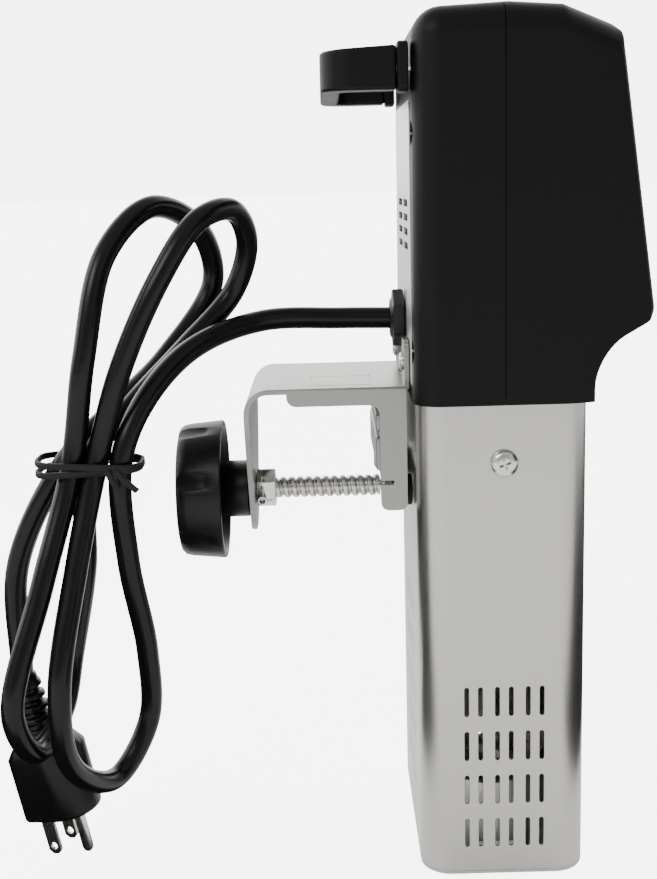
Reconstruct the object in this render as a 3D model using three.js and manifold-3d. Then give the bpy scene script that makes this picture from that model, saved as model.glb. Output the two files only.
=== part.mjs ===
// Commercial immersion (sous vide) circulator with pot clamp, carrying handle and tied mains lead.
// Millimetres, +Z up. The origin is the middle of the flat bottom of the tank, +X points to the
// sloping control face, -X to the pot clamp, the handle and the mains lead.
import * as THREE from 'three';
import { mergeVertices } from 'three/addons/utils/BufferGeometryUtils.js';
import Module from 'manifold-3d';

const wasm = await Module();
wasm.setup();

// ---- driving dimensions -------------------------------------------------------------------------
const GAP = 0.3; // clearance kept between neighbouring pieces
const TOUCH = 0.1; // clearance under the head of a screw

const TANK = { length: 70, width: 116, radius: 13, wall: 1.2, floor: 2, top: 205.2 };
const SLOT = { wide: 2, tall: 13, pitchZ: 19.75, pairPitch: 12.9, spread: 2.9 };
const SIDE_SLOT = { rows: 4, firstZ: 19.7, pairs: 3 };
const REAR_SLOT = { rows: 5, firstZ: 29.6, pairs: 4 };
const FLOOR_LIP = { top: 8, wall: 1 };
const DRAIN = { halfX: 12, halfY: 3, y: 36 };
const TANK_SCREW = { z: 181, bore: 2.7, thread: 2.3, head: 5.7, headHeight: 3, shank: 2, length: 8 };

const HEAD = { rear: -36, bottom: 205.5, top: 360, halfWidth: 63, noseHalfWidth: 55, nose: 60.5, wall: 3 };
const CREASE_X = 25; // where the sides of the head begin to draw in
const REAR_CORNER = 10;
const TOP_CORNER = 11;
// The side of the head from its foot, up the control face and back over the top to the rear.
const HEAD_SIDE = [
  [35.8, 205.5], [35.8, 212], [36.6, 226, 50, 232.5, 57.5, 236.2], [61.4, 239, 59.4, 250], [45.7, 346.8],
  [45.2, 349.9, 42.5, 351], [22.7, 358.5], [2, 360, -22, 359], [-31, 358.4, -35, 353, -35.2, 346],
];
const SHELL_SCREWS = { y: 50, z: [226, 312], boss: 6, bore: 2.2, sink: 4.75, sinkDepth: 6, webTo: 61 };
const SHELL_POST = { radius: 5, bore: 1.9, boreEnd: 13, end: 16 }; // the posts they bite, in the front shell

const REAR_PANEL = { halfWidth: 45, low: 211, high: 325, thick: 1.4, radius: 4, ledge: 3 };
const VENT = { rows: 4, firstZ: 267, pitch: 5.9, tall: 3, long: 26, offset: 17 };

const CHASSIS = { thick: 2, z: 208.8, halfX: 31, halfY: 56.4, radius: 9 };
const SKIRT = { low: 168, halfX: 20, thick: 1.5 }; // the folded sides that take the tank screws
const GASKET = { overhang: 1.4, thick: 1.6 };
const PASSAGES = { // what goes through the chassis plate: [x, y, hole radius]
  shaft: [0, 0, 8.6], heaterIn: [14.8, -29.9, 4.2], heaterOut: [9, 21, 4.2],
  probe: [-9, 16, 3], levelLow: [-9, -15, 2.6], levelHigh: [-9, -27, 2.6],
};

const FACE = { centreX: 52.4, centreZ: 299.6, lean: THREE.MathUtils.degToRad(8.06) };
const PANEL = { wide: 84, tall: 78, thick: 1.2, radius: 6, proud: 0.2, rim: 4 };
const DISPLAY = { wide: 46, tall: 22, y: 18, radius: 2, front: -0.2, back: -1.6 };
const BUTTON = { proud: 1.6, depth: 6, flange: 2.6, neck: 1 };
const BUTTONS = { // middle and radius of each cap, across and up the control face
  power: [0, -22, 7], set: [-28, -9, 5.5], timer: [28, -9, 5.5], minus: [-28, -26, 5.5], plus: [28, -26, 5.5],
};

// The control board behind the face: itself, the display on it and one switch behind each button.
const CONTROL_BOARD = { x: [-38, 38], y: [-34, 34], z: [-11.6, -10] };
const DISPLAY_BLOCK = { x: [-22, 22], y: [8, 28], z: [-10.5, -2] };
const SWITCH = { half: 3, z: [-10.5, -8] };

const HANDLE = { reach: -70.3, outer: 56, arm: 13, bar: 8, bend: 12, low: 328.3, high: 345.5, slope: 2 };
const COLLAR = { thick: 4, around: 1.2, halfTall: 9.5, radius: 3 };
const HANDLE_SCREW = { bore: 2.4, end: -61, head: 4, headHeight: 2.6, shank: 2, length: 27 };
const HANDLE_SEAT = { deep: 5.5, radius: 7 };

const CLAMP = { sheet: 2.2, halfWidth: 40, top: 210.6, left: -105.7, bend: 10.5, legLow: 142 };
const LEG = { taperFrom: 196, halfEnd: 18, endRise: 8, endRadius: 17.6, endAngle: 0.5 }; // the leg's outline
const JAW = { web: -49.2, webLow: 172, low: 158, right: -38, lip: 7.5, lipFrom: 18, lipRadius: 3, foot: 4 };
const JAW_RIB = { spans: [[174.5, 188.8], [191.3, 198.5]], inset: 3, radius: 1.5, proud: 1.5 };
const JAW_STRAP = { low: 2, high: 15 };
const RELIEF = { half: 2.6, halfTall: 0.9, x: 3.4, below: 2 };
const BRACKET_TAB = { halfWidth: 9, halfTall: 10.4, radius: 3, rise: 7.6 };
const BRACKET_SCREW = { y: 24, z: 219, bore: 2.4, head: 4, headHeight: 1.8, shank: 2, length: 9 };
const BUMPER = { y: 29, rise: 6.5, radius: 6.7, edge: 6.4, thick: 2.2, stem: 1.7, stemLong: 2.9, hole: 2 };
// back and tail are the plain end held in the knob, stud the pin that carries the pressure pad.
const SCREW = { z: 160, radius: 4.75, core: 3.95, back: -129.5, tail: -108, tip: -46, stud: 2.4, clear: 0.5 };
const KNOB = { left: -137.2, rim: -117.5, radius: 31, wall: 3, hub: 12.7, faceDeep: 5, hole: 4, holeDeep: 7 };
const GRIP = { count: 7, start: 20, radius: 4.2, away: 33.6, end: 4 };
const KNOB_CAP = { radius: 3.6, front: 0.9, back: -3, seat: 1.6 };
const CLAMP_NUT = { acrossFlats: 15, thick: 8.4 };
const PAD = { radius: 9, edge: 8, rim: 3.4, back: 6, thick: 5.4, clear: 3, socket: 2.7, socketEnd: 2.2 };

const SHAFT = { radius: 3, low: 18, high: 304 };
const MOTOR = { radius: 23, band: 24.5, bandEnd: 18, low: 227, high: 286, shoulder: 2, bearing: 0.4 };
const STAND = { radius: 28, top: 226.7, plate: 2, leg: 2.5, legAway: 25.5, legAngle: 0.35, bore: 8.6 };
const FAN = { hub: 9, low: 290, high: 300, blades: 7, blade: [20, 1.2, 8], twist: 0.7, away: 18 };
const IMPELLER = { disc: 17, low: 22, thick: 1.6, hub: 6.5, high: 33 };
const VANE = { count: 6, size: [11, 1.4, 8], sweep: 0.35, away: 11, z: 27.2 };
const COLUMN = { outer: 8, inner: 6.4, low: 52 };
const BUSH = { flange: 8, low: 50, shoulder: 51.7, neck: 6.1, high: 62 };
const HEATER = { tube: 3.5, radiusX: 23, radiusY: 39, low: 36, high: 112, turns: 2.25, start: -50 };
const HEATER_ENDS = { top: 218, bend: 128 };
const PROBE = { top: 222, collar: 2.6, collarTop: 217, stem: 2.4, low: 30 };
const LEVEL = { stem: 2, low: 92, high: 132 };
const POWER_BOARD = { x: [-26, 26], y: [39, 40.6], z: [236, 304] };
const RELAY = { x: [-20, 0], y: [27, 39.5], z: [241, 259] };
const HEAT_SINK = { x: [-18, 18], y: [30, 39.5], z: [280, 300] };
const CAPACITOR = { radius: 8, y: [28, 39.5], place: [13, 252] };

const CORD_RADIUS = 4.7;
const GLAND = { z: 235, acrossFlats: 22, out: -41.4, thread: 8, threadEnd: -26, nutEnd: -30 };
const SEAL = { radius: 8.4, flare: 1.2, out: 1, end: 1.8 };
const PLUG = { x: -190.4, y: -46, z: 30.1, tilt: -11.6, spin: -22, length: 37.3 };
const PLUG_FORM = { flat: -12.5, half: 13, centre: 5, bevel: 3, draw: 2, out: 1 };
const NECK = { root: 7.6, rib: 7.4, taper: 0.35, long: 26, end: 5.2 };
const NECK_RIB = { count: 4, first: 3, pitch: 5, deep: 1.6, groove: 2, land: 2.4 };
const BLADE = { x: -4.5, y: 6.35, wide: 6.35, thick: 1.5, long: 17.8, root: 5, chamfer: 2 };
const BLADE_HOLE = { radius: 1.6, up: 3.8 };
const EARTH = { x: 7.4, radius: 2.4, long: 20.5, nose: [[1.2, 0], [2.2, 1.6]], noseEnd: 3 };

// The lead leaves the gland, drops to the tie, loops down and up through it twice more and ends at
// the plug: one hand-laid route, each line a point.
const CORD_ROUTE = [
  [-41.7, 0, 235], [-64, 0, 235.5], [-98, -8, 236], [-127, -30, 227], [-146, -49, 207],
  [-154.6, -56.5, 185], [-155, -50, 142], [-151, -38, 98], [-153, -33, 64], [-166, -46, 44],
  [-179, -74, 62], [-180, -84, 98], [-173, -69, 145],
  [-164.5, -57, 185], [-153, -58, 222], [-136, -54, 258], [-121, -44, 280], [-108, -28, 284],
  [-103, -12, 270], [-110, -4, 249], [-131, -17, 226], [-152, -38, 205],
  [-169.3, -47.5, 185], [-174, -45, 138], [-183, -38, 98], [-186, -51, 78], [-193, -76, 70],
  [-198, -88, 92], [-186, -73, 140],
  [-174.4, -57, 185], [-167, -57, 228], [-158, -46, 268], [-141, -27, 286], [-124, -5, 276],
  [-120, 8, 252], [-140, -6, 222], [-160, -34, 203],
  [-179.2, -47.5, 184], [-202, -46, 140], [-203.6, -46, 93.6],
];
const TIE = { x: -167.8, y: -52.3, halfX: 20.4, halfY: 11.5, corner: 8, z: 184, tall: 5, thick: 1.4 };

// ---- helpers ------------------------------------------------------------------------------------
const X = new THREE.Vector3(1, 0, 0);
const Y = new THREE.Vector3(0, 1, 0);
const Z = new THREE.Vector3(0, 0, 1);
const QUARTER = Math.PI / 2;
const FAR = 500; // past any face of the whole appliance
const THROUGH_REAR = [-50, -20]; // from behind the head to well inside its rear wall

/** The basis that lays a drawn outline square to an axis and runs it along that axis. */
const LAY = {
  x: new THREE.Matrix4().makeBasis(Y, Z, X),
  y: new THREE.Matrix4().makeBasis(X, Z, Y.clone().negate()),
  z: new THREE.Matrix4(),
};

/** Runs an outline from one place to another along an axis. */
function extrude(outline, axis, from, to, segments = 3) {
  const settings = { depth: to - from, bevelEnabled: false, curveSegments: segments };
  const geometry = new THREE.ExtrudeGeometry(outline, settings);
  geometry.applyMatrix4(LAY[axis]);
  const start = { x: [from, 0, 0], y: [0, to, 0], z: [0, 0, from] }[axis];
  return geometry.translate(...start);
}

/** A rod along an axis; centre gives its two other coordinates in x, y, z order. */
function rod(axis, radius, from, to, centre = [0, 0], sides = 10) {
  const geometry = new THREE.CylinderGeometry(radius, radius, to - from, sides);
  const middle = (from + to) / 2;
  if (axis === 'x') geometry.rotateZ(-QUARTER).translate(middle, ...centre);
  if (axis === 'y') geometry.translate(centre[0], middle, centre[1]);
  if (axis === 'z') geometry.rotateX(QUARTER).translate(...centre, middle);
  return geometry;
}

function block(x, y, z) {
  const geometry = new THREE.BoxGeometry(x[1] - x[0], y[1] - y[0], z[1] - z[0]);
  return geometry.translate((x[0] + x[1]) / 2, (y[0] + y[1]) / 2, (z[0] + z[1]) / 2);
}

const boxOf = ({ x, y, z }) => block(x, y, z);

/** The two ends of a length about its middle. */
const span = (middle, length) => [middle - length / 2, middle + length / 2];
const inOrder = (a, b) => [Math.min(a, b), Math.max(a, b)];

/** Turns a profile of [radius, height] points about +Z. */
function turn(profile, sides = 16) {
  const points = profile.map(([radius, height]) => new THREE.Vector2(radius, height));
  return new THREE.LatheGeometry(points, sides).rotateX(QUARTER);
}

function tube(route, radius, steps, sides) {
  const path = new THREE.CatmullRomCurve3(route.map((p) => new THREE.Vector3(...p)), false, 'centripetal');
  const section = new THREE.Shape().absarc(0, 0, radius, 0, 2 * Math.PI);
  const settings = { steps, extrudePath: path, bevelEnabled: false, curveSegments: sides / 2 };
  return new THREE.ExtrudeGeometry(section, settings);
}

function roundedRectangle(halfU, halfV, radius, centre = [0, 0]) {
  const [u, v] = centre;
  const drawing = new THREE.Shape();
  drawing.absarc(u + halfU - radius, v + halfV - radius, radius, 0, QUARTER);
  drawing.absarc(u - halfU + radius, v + halfV - radius, radius, QUARTER, Math.PI);
  drawing.absarc(u - halfU + radius, v - halfV + radius, radius, Math.PI, 3 * QUARTER);
  drawing.absarc(u + halfU - radius, v - halfV + radius, radius, 3 * QUARTER, 4 * QUARTER);
  drawing.closePath();
  return drawing;
}

function hexagon(acrossFlats) {
  const corner = acrossFlats / Math.sqrt(3);
  const points = [];
  for (let side = 0; side < 6; side += 1) {
    const angle = (side * Math.PI) / 3;
    points.push(new THREE.Vector2(corner * Math.cos(angle), corner * Math.sin(angle)));
  }
  return new THREE.Shape(points);
}

/** Turns closed geometry into a solid that can be joined and cut. */
function solid(geometry) {
  const bare = geometry.clone();
  bare.deleteAttribute('normal');
  bare.deleteAttribute('uv');
  const merged = mergeVertices(bare, 1e-4);
  const corners = merged.index.array;
  const kept = [];
  for (let i = 0; i < corners.length; i += 3) {
    const [a, b, c] = corners.slice(i, i + 3);
    if (a !== b && b !== c && c !== a) kept.push(a, b, c);
  }
  const vertProperties = merged.attributes.position.array;
  return new wasm.Manifold(new wasm.Mesh({ numProp: 3, vertProperties, triVerts: new Uint32Array(kept) }));
}

const fuse = (body, ...added) => added.map(solid).reduce((whole, next) => whole.add(next), body);
const join = (first, ...rest) => fuse(solid(first), ...rest);
const cut = (body, ...tools) => tools.map(solid).reduce((whole, next) => whole.subtract(next), body);

function geometryOf(body) {
  const { vertProperties, triVerts } = body.getMesh();
  const geometry = new THREE.BufferGeometry();
  geometry.setAttribute('position', new THREE.BufferAttribute(vertProperties, 3));
  geometry.setIndex(new THREE.BufferAttribute(triVerts, 1));
  geometry.computeVertexNormals();
  return geometry;
}

const FINISH = {
  steel: () => new THREE.MeshStandardMaterial({ color: 0xa5a49b, roughness: 0.35, metalness: 1 }),
  brightSteel: () => new THREE.MeshStandardMaterial({ color: 0xc9c8c0, roughness: 0.2, metalness: 1 }),
  blackPlastic: () => new THREE.MeshStandardMaterial({ color: 0x1b1b1b, roughness: 0.5, metalness: 0 }),
  blackRubber: () => new THREE.MeshStandardMaterial({ color: 0x121212, roughness: 0.8, metalness: 0 }),
  blackVinyl: () => new THREE.MeshStandardMaterial({ color: 0x161616, roughness: 0.35, metalness: 0 }),
  darkGlass: () => new THREE.MeshStandardMaterial({ color: 0x0a0c0e, roughness: 0.1, metalness: 0 }),
  greyPlastic: () => new THREE.MeshStandardMaterial({ color: 0x8b8f92, roughness: 0.5, metalness: 0 }),
  whitePlastic: () => new THREE.MeshStandardMaterial({ color: 0xe4e4df, roughness: 0.6, metalness: 0 }),
  board: () => new THREE.MeshStandardMaterial({ color: 0x1f5b3a, roughness: 0.6, metalness: 0 }),
  motorPaint: () => new THREE.MeshStandardMaterial({ color: 0x3a3d40, roughness: 0.6, metalness: 0.4 }),
};

const group = new THREE.Group();

/** Names a piece, gives it its finish and adds it to the assembly. */
function piece(name, shape, finish, parent = group) {
  const geometry = shape.isBufferGeometry ? shape : geometryOf(shape);
  const mesh = new THREE.Mesh(geometry, FINISH[finish]());
  mesh.name = name;
  parent.add(mesh);
  return mesh;
}

/** A pan-head screw along +Z, the underside of its head at z = 0. */
function panScrew({ head, headHeight, shank, length }) {
  return turn([[0, -length], [shank, -length], [shank, 0], [head, 0], [head, headHeight * 0.35],
    [head * 0.7, headHeight], [0, headHeight]], 10);
}

const OUTWARD = { // turns +Z to face out of each side
  near: [QUARTER, 0, 0], far: [-QUARTER, 0, 0], rear: [0, -QUARTER, 0], front: [0, QUARTER, 0],
};

function placeScrew(name, shape, side, position) {
  const mesh = piece(name, shape, 'brightSteel');
  mesh.rotation.set(...OUTWARD[side]);
  mesh.position.set(...position);
}

// ---- tank: brushed sleeve, welded floor, side screws ---------------------------------------------
const tankInside = (shrink) => {
  const inset = TANK.wall + shrink;
  return roundedRectangle(TANK.length / 2 - inset, TANK.width / 2 - inset, TANK.radius - inset);
};

/** Rows of upright slots in pairs, cut through along an axis. */
function pairedSlots(axis, from, to, { rows, firstZ, pairs }) {
  const cutters = [];
  for (let row = 0; row < rows; row += 1) {
    for (let pair = 0; pair < pairs; pair += 1) {
      const middle = (pair - (pairs - 1) / 2) * SLOT.pairPitch;
      for (const shift of [-SLOT.spread, SLOT.spread]) {
        const across = span(middle + shift, SLOT.wide);
        const upright = span(firstZ + row * SLOT.pitchZ, SLOT.tall);
        cutters.push(axis === 'y' ? block(across, [from, to], upright) : block([from, to], across, upright));
      }
    }
  }
  return cutters;
}

function tankSleeve() {
  const skin = roundedRectangle(TANK.length / 2, TANK.width / 2, TANK.radius);
  const sleeve = solid(extrude(skin, 'z', TANK.floor + GAP, TANK.top, 4));
  const hollow = extrude(tankInside(0), 'z', 0, TANK.top + 1, 4);
  const sides = pairedSlots('y', -TANK.width, TANK.width, SIDE_SLOT);
  const rear = pairedSlots('x', -TANK.length, 0, REAR_SLOT);
  const screwHole = rod('y', TANK_SCREW.bore, -TANK.width, TANK.width, [0, TANK_SCREW.z], 12);
  return cut(sleeve, hollow, ...sides, ...rear, screwHole);
}

function tankFloor() {
  const plate = extrude(roundedRectangle(TANK.length / 2, TANK.width / 2, TANK.radius), 'z', 0, TANK.floor);
  const lipOutside = solid(extrude(tankInside(GAP), 'z', TANK.floor - 1, FLOOR_LIP.top));
  const lip = cut(lipOutside, extrude(tankInside(GAP + FLOOR_LIP.wall), 'z', 0, FLOOR_LIP.top + 1));
  const drains = [-DRAIN.y, DRAIN.y].map((y) => {
    const outline = roundedRectangle(DRAIN.halfX, DRAIN.halfY, DRAIN.halfY - 0.1, [0, y]);
    return extrude(outline, 'z', -1, TANK.floor + 1, 3);
  });
  return cut(solid(plate).add(lip), ...drains);
}

piece('tank_sleeve', tankSleeve(), 'steel');
piece('tank_floor', tankFloor(), 'steel');
const tankScrew = panScrew(TANK_SCREW);
placeScrew('tank_screw_near', tankScrew, 'near', [0, -TANK.width / 2 - TOUCH, TANK_SCREW.z]);
placeScrew('tank_screw_far', tankScrew, 'far', [0, TANK.width / 2 + TOUCH, TANK_SCREW.z]);

// ---- chassis: the plate that closes the tank and carries the works -------------------------------
function chassis() {
  const { thick, z, halfX, halfY, radius } = CHASSIS;
  const plate = extrude(roundedRectangle(halfX, halfY, radius), 'z', z, z + thick);
  const skirts = [-1, 1].map((side) => block(
    [-SKIRT.halfX, SKIRT.halfX], inOrder(side * halfY, side * (halfY - SKIRT.thick)), [SKIRT.low, z + 1]));
  const holes = Object.values(PASSAGES)
    .map(([x, y, bore]) => rod('z', bore, z - 1, z + thick + 1, [x, y], 16));
  const screwHole = rod('y', TANK_SCREW.thread, -FAR, FAR, [0, TANK_SCREW.z], 12);
  return cut(join(plate, ...skirts), ...holes, screwHole);
}

function gasket() {
  const { halfX, halfY, radius, z, thick } = CHASSIS;
  const { overhang } = GASKET;
  const outer = roundedRectangle(halfX + overhang, halfY + overhang, radius + 1);
  const inner = roundedRectangle(halfX + GAP, halfY + GAP, radius + GAP);
  const ring = solid(extrude(outer, 'z', ...span(z + thick / 2, GASKET.thick), 4));
  return cut(ring, extrude(inner, 'z', z - thick, z + 2 * thick));
}

piece('chassis_plate', chassis(), 'steel');
piece('chassis_gasket', gasket(), 'blackRubber');

// ---- head: two moulded half shells that meet on an upright seam ----------------------------------
/** The outside of the head: its side, plan and end outlines, each run through the others. */
function headForm() {
  const side = new THREE.Shape();
  side.moveTo(HEAD.rear, HEAD.bottom);
  for (const step of HEAD_SIDE) {
    if (step.length === 2) side.lineTo(...step);
    if (step.length === 4) side.quadraticCurveTo(...step);
    if (step.length === 6) side.bezierCurveTo(...step);
  }
  side.closePath();

  const plan = new THREE.Shape();
  plan.moveTo(CREASE_X, -HEAD.halfWidth);
  plan.lineTo(HEAD.nose + 1, -HEAD.noseHalfWidth);
  plan.lineTo(HEAD.nose + 1, HEAD.noseHalfWidth);
  plan.lineTo(CREASE_X, HEAD.halfWidth);
  plan.absarc(HEAD.rear + REAR_CORNER, HEAD.halfWidth - REAR_CORNER, REAR_CORNER, QUARTER, Math.PI);
  plan.absarc(HEAD.rear + REAR_CORNER, REAR_CORNER - HEAD.halfWidth, REAR_CORNER, Math.PI, 3 * QUARTER);
  plan.closePath();

  const end = new THREE.Shape();
  end.moveTo(-HEAD.halfWidth, HEAD.bottom);
  end.lineTo(HEAD.halfWidth, HEAD.bottom);
  end.absarc(HEAD.halfWidth - TOP_CORNER, HEAD.top - TOP_CORNER, TOP_CORNER, 0, QUARTER);
  end.absarc(TOP_CORNER - HEAD.halfWidth, HEAD.top - TOP_CORNER, TOP_CORNER, QUARTER, Math.PI);
  end.closePath();

  const through = HEAD.halfWidth + 1;
  return solid(extrude(side, 'y', -through, through, 5))
    .intersect(solid(extrude(plan, 'z', HEAD.bottom - 1, HEAD.top + 1)))
    .intersect(solid(extrude(end, 'x', HEAD.rear - 1, HEAD.nose + 2)));
}

/** The outside form drawn in about its middle, so that it leaves a wall all round. */
function headHollow(form) {
  const middle = [(HEAD.rear + HEAD.nose) / 2, 0, (HEAD.bottom + HEAD.top) / 2];
  const half = [(HEAD.nose - HEAD.rear) / 2, HEAD.halfWidth, (HEAD.top - HEAD.bottom) / 2];
  const shrink = half.map((size) => (size - HEAD.wall) / size);
  return form.translate(middle.map((m) => -m)).scale(shrink).translate(middle);
}

const headSolid = headForm();
const headInside = headHollow(headSolid);
const tankPassage = extrude(tankInside(0), 'z', HEAD.bottom - 1, HEAD.bottom + HEAD.wall + 2);

/** Calls make(y, z) for each of the four screws that hold the shells together. */
function eachShellScrew(make) {
  const made = [];
  for (const z of SHELL_SCREWS.z) {
    for (const y of [-SHELL_SCREWS.y, SHELL_SCREWS.y]) made.push(make(y, z));
  }
  return made;
}

/** A boss for each shell screw and a web that ties it to the side wall, between two places along x. */
function screwPosts(radius, from, to) {
  const bosses = eachShellScrew((y, z) => rod('x', radius, from, to, [y, z]));
  const webs = eachShellScrew((y, z) => block(
    [from, to], inOrder(y, Math.sign(y) * SHELL_SCREWS.webTo), span(z, 2)));
  return [...bosses, ...webs];
}

const handleArmY = HANDLE.outer - HANDLE.arm / 2;
const eachHandleArm = (make) => [-handleArmY, handleArmY].map(make);
const handleZ = (HANDLE.low + HANDLE.high) / 2;

function rearShell() {
  const { halfWidth, low, high, radius, ledge, thick } = REAR_PANEL;
  const { boss, bore, sink, sinkDepth } = SHELL_SCREWS;
  const posts = screwPosts(boss, HEAD.rear + 2, -GAP / 2);
  const sinks = eachShellScrew((y, z) => rod('x', sink, -FAR, HEAD.rear + sinkDepth, [y, z]));
  const bores = eachShellScrew((y, z) => rod('x', bore, -FAR, GAP, [y, z], 12));
  const seats = eachHandleArm((y) => rod(
    'x', HANDLE_SEAT.radius, HEAD.rear + 1, HEAD.rear + HANDLE_SEAT.deep, [y, handleZ]));
  const handleHoles = eachHandleArm((y) => rod('x', HANDLE_SCREW.bore, ...THROUGH_REAR, [y, handleZ]));
  const centre = [0, (low + high) / 2];
  const tall = (high - low) / 2;
  const window = roundedRectangle(halfWidth - ledge, tall - ledge, radius, centre);
  const rebate = roundedRectangle(halfWidth + GAP, tall + GAP, radius + GAP, centre);
  return cut(fuse(headSolid.subtract(headInside), ...posts, ...seats),
    block([-GAP / 2, FAR], [-FAR, FAR], [0, FAR]), tankPassage,
    extrude(window, 'x', ...THROUGH_REAR), extrude(rebate, 'x', -FAR, HEAD.rear + thick + 2 * TOUCH),
    ...sinks, ...bores, ...handleHoles);
}

// The control face leans back: local x runs along +Y, local y up the face, local z out of it.
const faceFrame = new THREE.Matrix4().makeBasis(
  Y, new THREE.Vector3(-Math.sin(FACE.lean), 0, Math.cos(FACE.lean)),
  new THREE.Vector3(Math.cos(FACE.lean), 0, Math.sin(FACE.lean)));
faceFrame.setPosition(FACE.centreX, 0, FACE.centreZ);
const onFace = (geometry) => geometry.applyMatrix4(faceFrame);

function frontShell() {
  const posts = screwPosts(SHELL_POST.radius, GAP / 2, SHELL_POST.end);
  const bores = eachShellScrew((y, z) => rod('x', SHELL_POST.bore, -GAP, SHELL_POST.boreEnd, [y, z], 12));
  const { wide, tall, radius, rim, thick } = PANEL;
  const recess = roundedRectangle(wide / 2 + GAP, tall / 2 + GAP, radius + GAP);
  const opening = roundedRectangle(wide / 2 - rim, tall / 2 - rim, radius);
  return cut(fuse(headSolid.subtract(headInside), ...posts),
    block([-FAR, GAP / 2], [-FAR, FAR], [0, FAR]), tankPassage,
    onFace(extrude(recess, 'z', -thick, 20)), onFace(extrude(opening, 'z', -15, 20)), ...bores);
}

piece('head_rear_shell', rearShell(), 'blackPlastic');
piece('head_front_shell', frontShell(), 'blackPlastic');
const shellScrew = panScrew({ head: 4, headHeight: 2.6, shank: 1.6, length: 36 });
eachShellScrew((y, z) => {
  const name = `shell_screw_${z < 250 ? 'low' : 'high'}_${y < 0 ? 'near' : 'far'}`;
  placeScrew(name, shellScrew, 'rear', [HEAD.rear + SHELL_SCREWS.sinkDepth - TOUCH, y, z]);
});

// ---- rear panel: flush steel plate with vents, gland and clamp holes ------------------------------
const bracketScrewHoles = [-BRACKET_SCREW.y, BRACKET_SCREW.y].map((y) => rod(
  'x', BRACKET_SCREW.bore, ...THROUGH_REAR, [y, BRACKET_SCREW.z], 12));

function rearPanel() {
  const { halfWidth, low, high, thick, radius } = REAR_PANEL;
  const outline = roundedRectangle(halfWidth, (high - low) / 2, radius, [0, (low + high) / 2]);
  const plate = solid(extrude(outline, 'x', HEAD.rear + TOUCH, HEAD.rear + TOUCH + thick));
  const vents = [];
  for (let row = 0; row < VENT.rows; row += 1) {
    for (const y of [-VENT.offset, VENT.offset]) {
      const place = [y, VENT.firstZ + row * VENT.pitch];
      const outlet = roundedRectangle(VENT.long / 2, VENT.tall / 2, VENT.tall / 2 - 0.01, place);
      vents.push(extrude(outlet, 'x', ...THROUGH_REAR, 1));
    }
  }
  const glandHole = rod('x', GLAND.thread + GAP + TOUCH, ...THROUGH_REAR, [0, GLAND.z]);
  return cut(plate, ...vents, ...bracketScrewHoles, glandHole);
}

piece('rear_panel', rearPanel(), 'steel');

// ---- control face: panel, display window and push buttons ---------------------------------------
const face = new THREE.Group();
face.applyMatrix4(faceFrame);
group.add(face);

function controlPanel() {
  const { wide, tall, radius: corner, thick, proud } = PANEL;
  const plate = solid(extrude(roundedRectangle(wide / 2, tall / 2, corner), 'z', proud - thick, proud));
  const window = extrude(
    roundedRectangle(DISPLAY.wide / 2, DISPLAY.tall / 2, DISPLAY.radius, [0, DISPLAY.y]), 'z', -5, 5);
  const holes = Object.values(BUTTONS).map(([x, y, radius]) => rod('z', radius + GAP, -5, 5, [x, y], 16));
  return cut(plate, window, ...holes);
}

piece('control_panel', controlPanel(), 'blackPlastic', face);
const windowOutline = roundedRectangle(
  DISPLAY.wide / 2 - GAP, DISPLAY.tall / 2 - GAP, DISPLAY.radius - GAP, [0, DISPLAY.y]);
piece('display_window', extrude(windowOutline, 'z', DISPLAY.back, DISPLAY.front), 'darkGlass', face);
for (const [name, [x, y, radius]] of Object.entries(BUTTONS)) {
  const { depth, neck, flange, proud } = BUTTON;
  const keyCap = turn([[0, -depth], [radius - neck, -depth], [radius - neck, -flange], [radius, -flange],
    [radius, proud], [0, proud]]);
  const finish = name === 'power' ? 'whitePlastic' : 'greyPlastic';
  piece(`${name}_button`, keyCap, finish, face).position.set(x, y, 0);
}

function controlBoard() {
  const switches = Object.values(BUTTONS)
    .map(([x, y]) => block(span(x, 2 * SWITCH.half), span(y, 2 * SWITCH.half), SWITCH.z));
  return join(boxOf(CONTROL_BOARD), boxOf(DISPLAY_BLOCK), ...switches);
}
piece('control_board', controlBoard(), 'board', face);

// ---- handle: moulded bow on two collars ----------------------------------------------------------
function handleBow() {
  const { reach, outer, arm, bar, bend, low, high, slope } = HANDLE;
  const root = HEAD.rear - COLLAR.thick - 0.8;
  const plan = new THREE.Shape();
  plan.moveTo(root, -outer);
  plan.lineTo(root, arm - outer);
  plan.lineTo(reach + bar, arm - outer);
  plan.lineTo(reach + bar, outer - arm);
  plan.lineTo(root, outer - arm);
  plan.lineTo(root, outer);
  plan.absarc(reach + bend, outer - bend, bend, QUARTER, Math.PI);
  plan.absarc(reach + bend, bend - outer, bend, Math.PI, 3 * QUARTER);
  plan.closePath();
  const side = new THREE.Shape(); // the bow thins a little towards its far end
  side.moveTo(reach - 1, low);
  side.lineTo(-30, low);
  side.lineTo(-30, high);
  side.lineTo(reach - 1, high - slope);
  side.closePath();
  const sides = solid(extrude(side, 'y', -outer - 1, outer + 1));
  const bow = solid(extrude(plan, 'z', low, high + 1)).intersect(sides);
  return cut(bow, ...eachHandleArm(screwBore));
}

const screwBore = (y) => rod('x', HANDLE_SCREW.bore - TOUCH, HANDLE_SCREW.end, -30, [y, handleZ], 12);

function handleCollar(y) {
  const { thick, around, halfTall, radius } = COLLAR;
  const outline = roundedRectangle(HANDLE.arm / 2 + around, halfTall, radius, [y, handleZ]);
  const collar = extrude(outline, 'x', HEAD.rear - thick - 0.5, HEAD.rear - 0.35, 4);
  return cut(solid(collar), screwBore(y));
}

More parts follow.
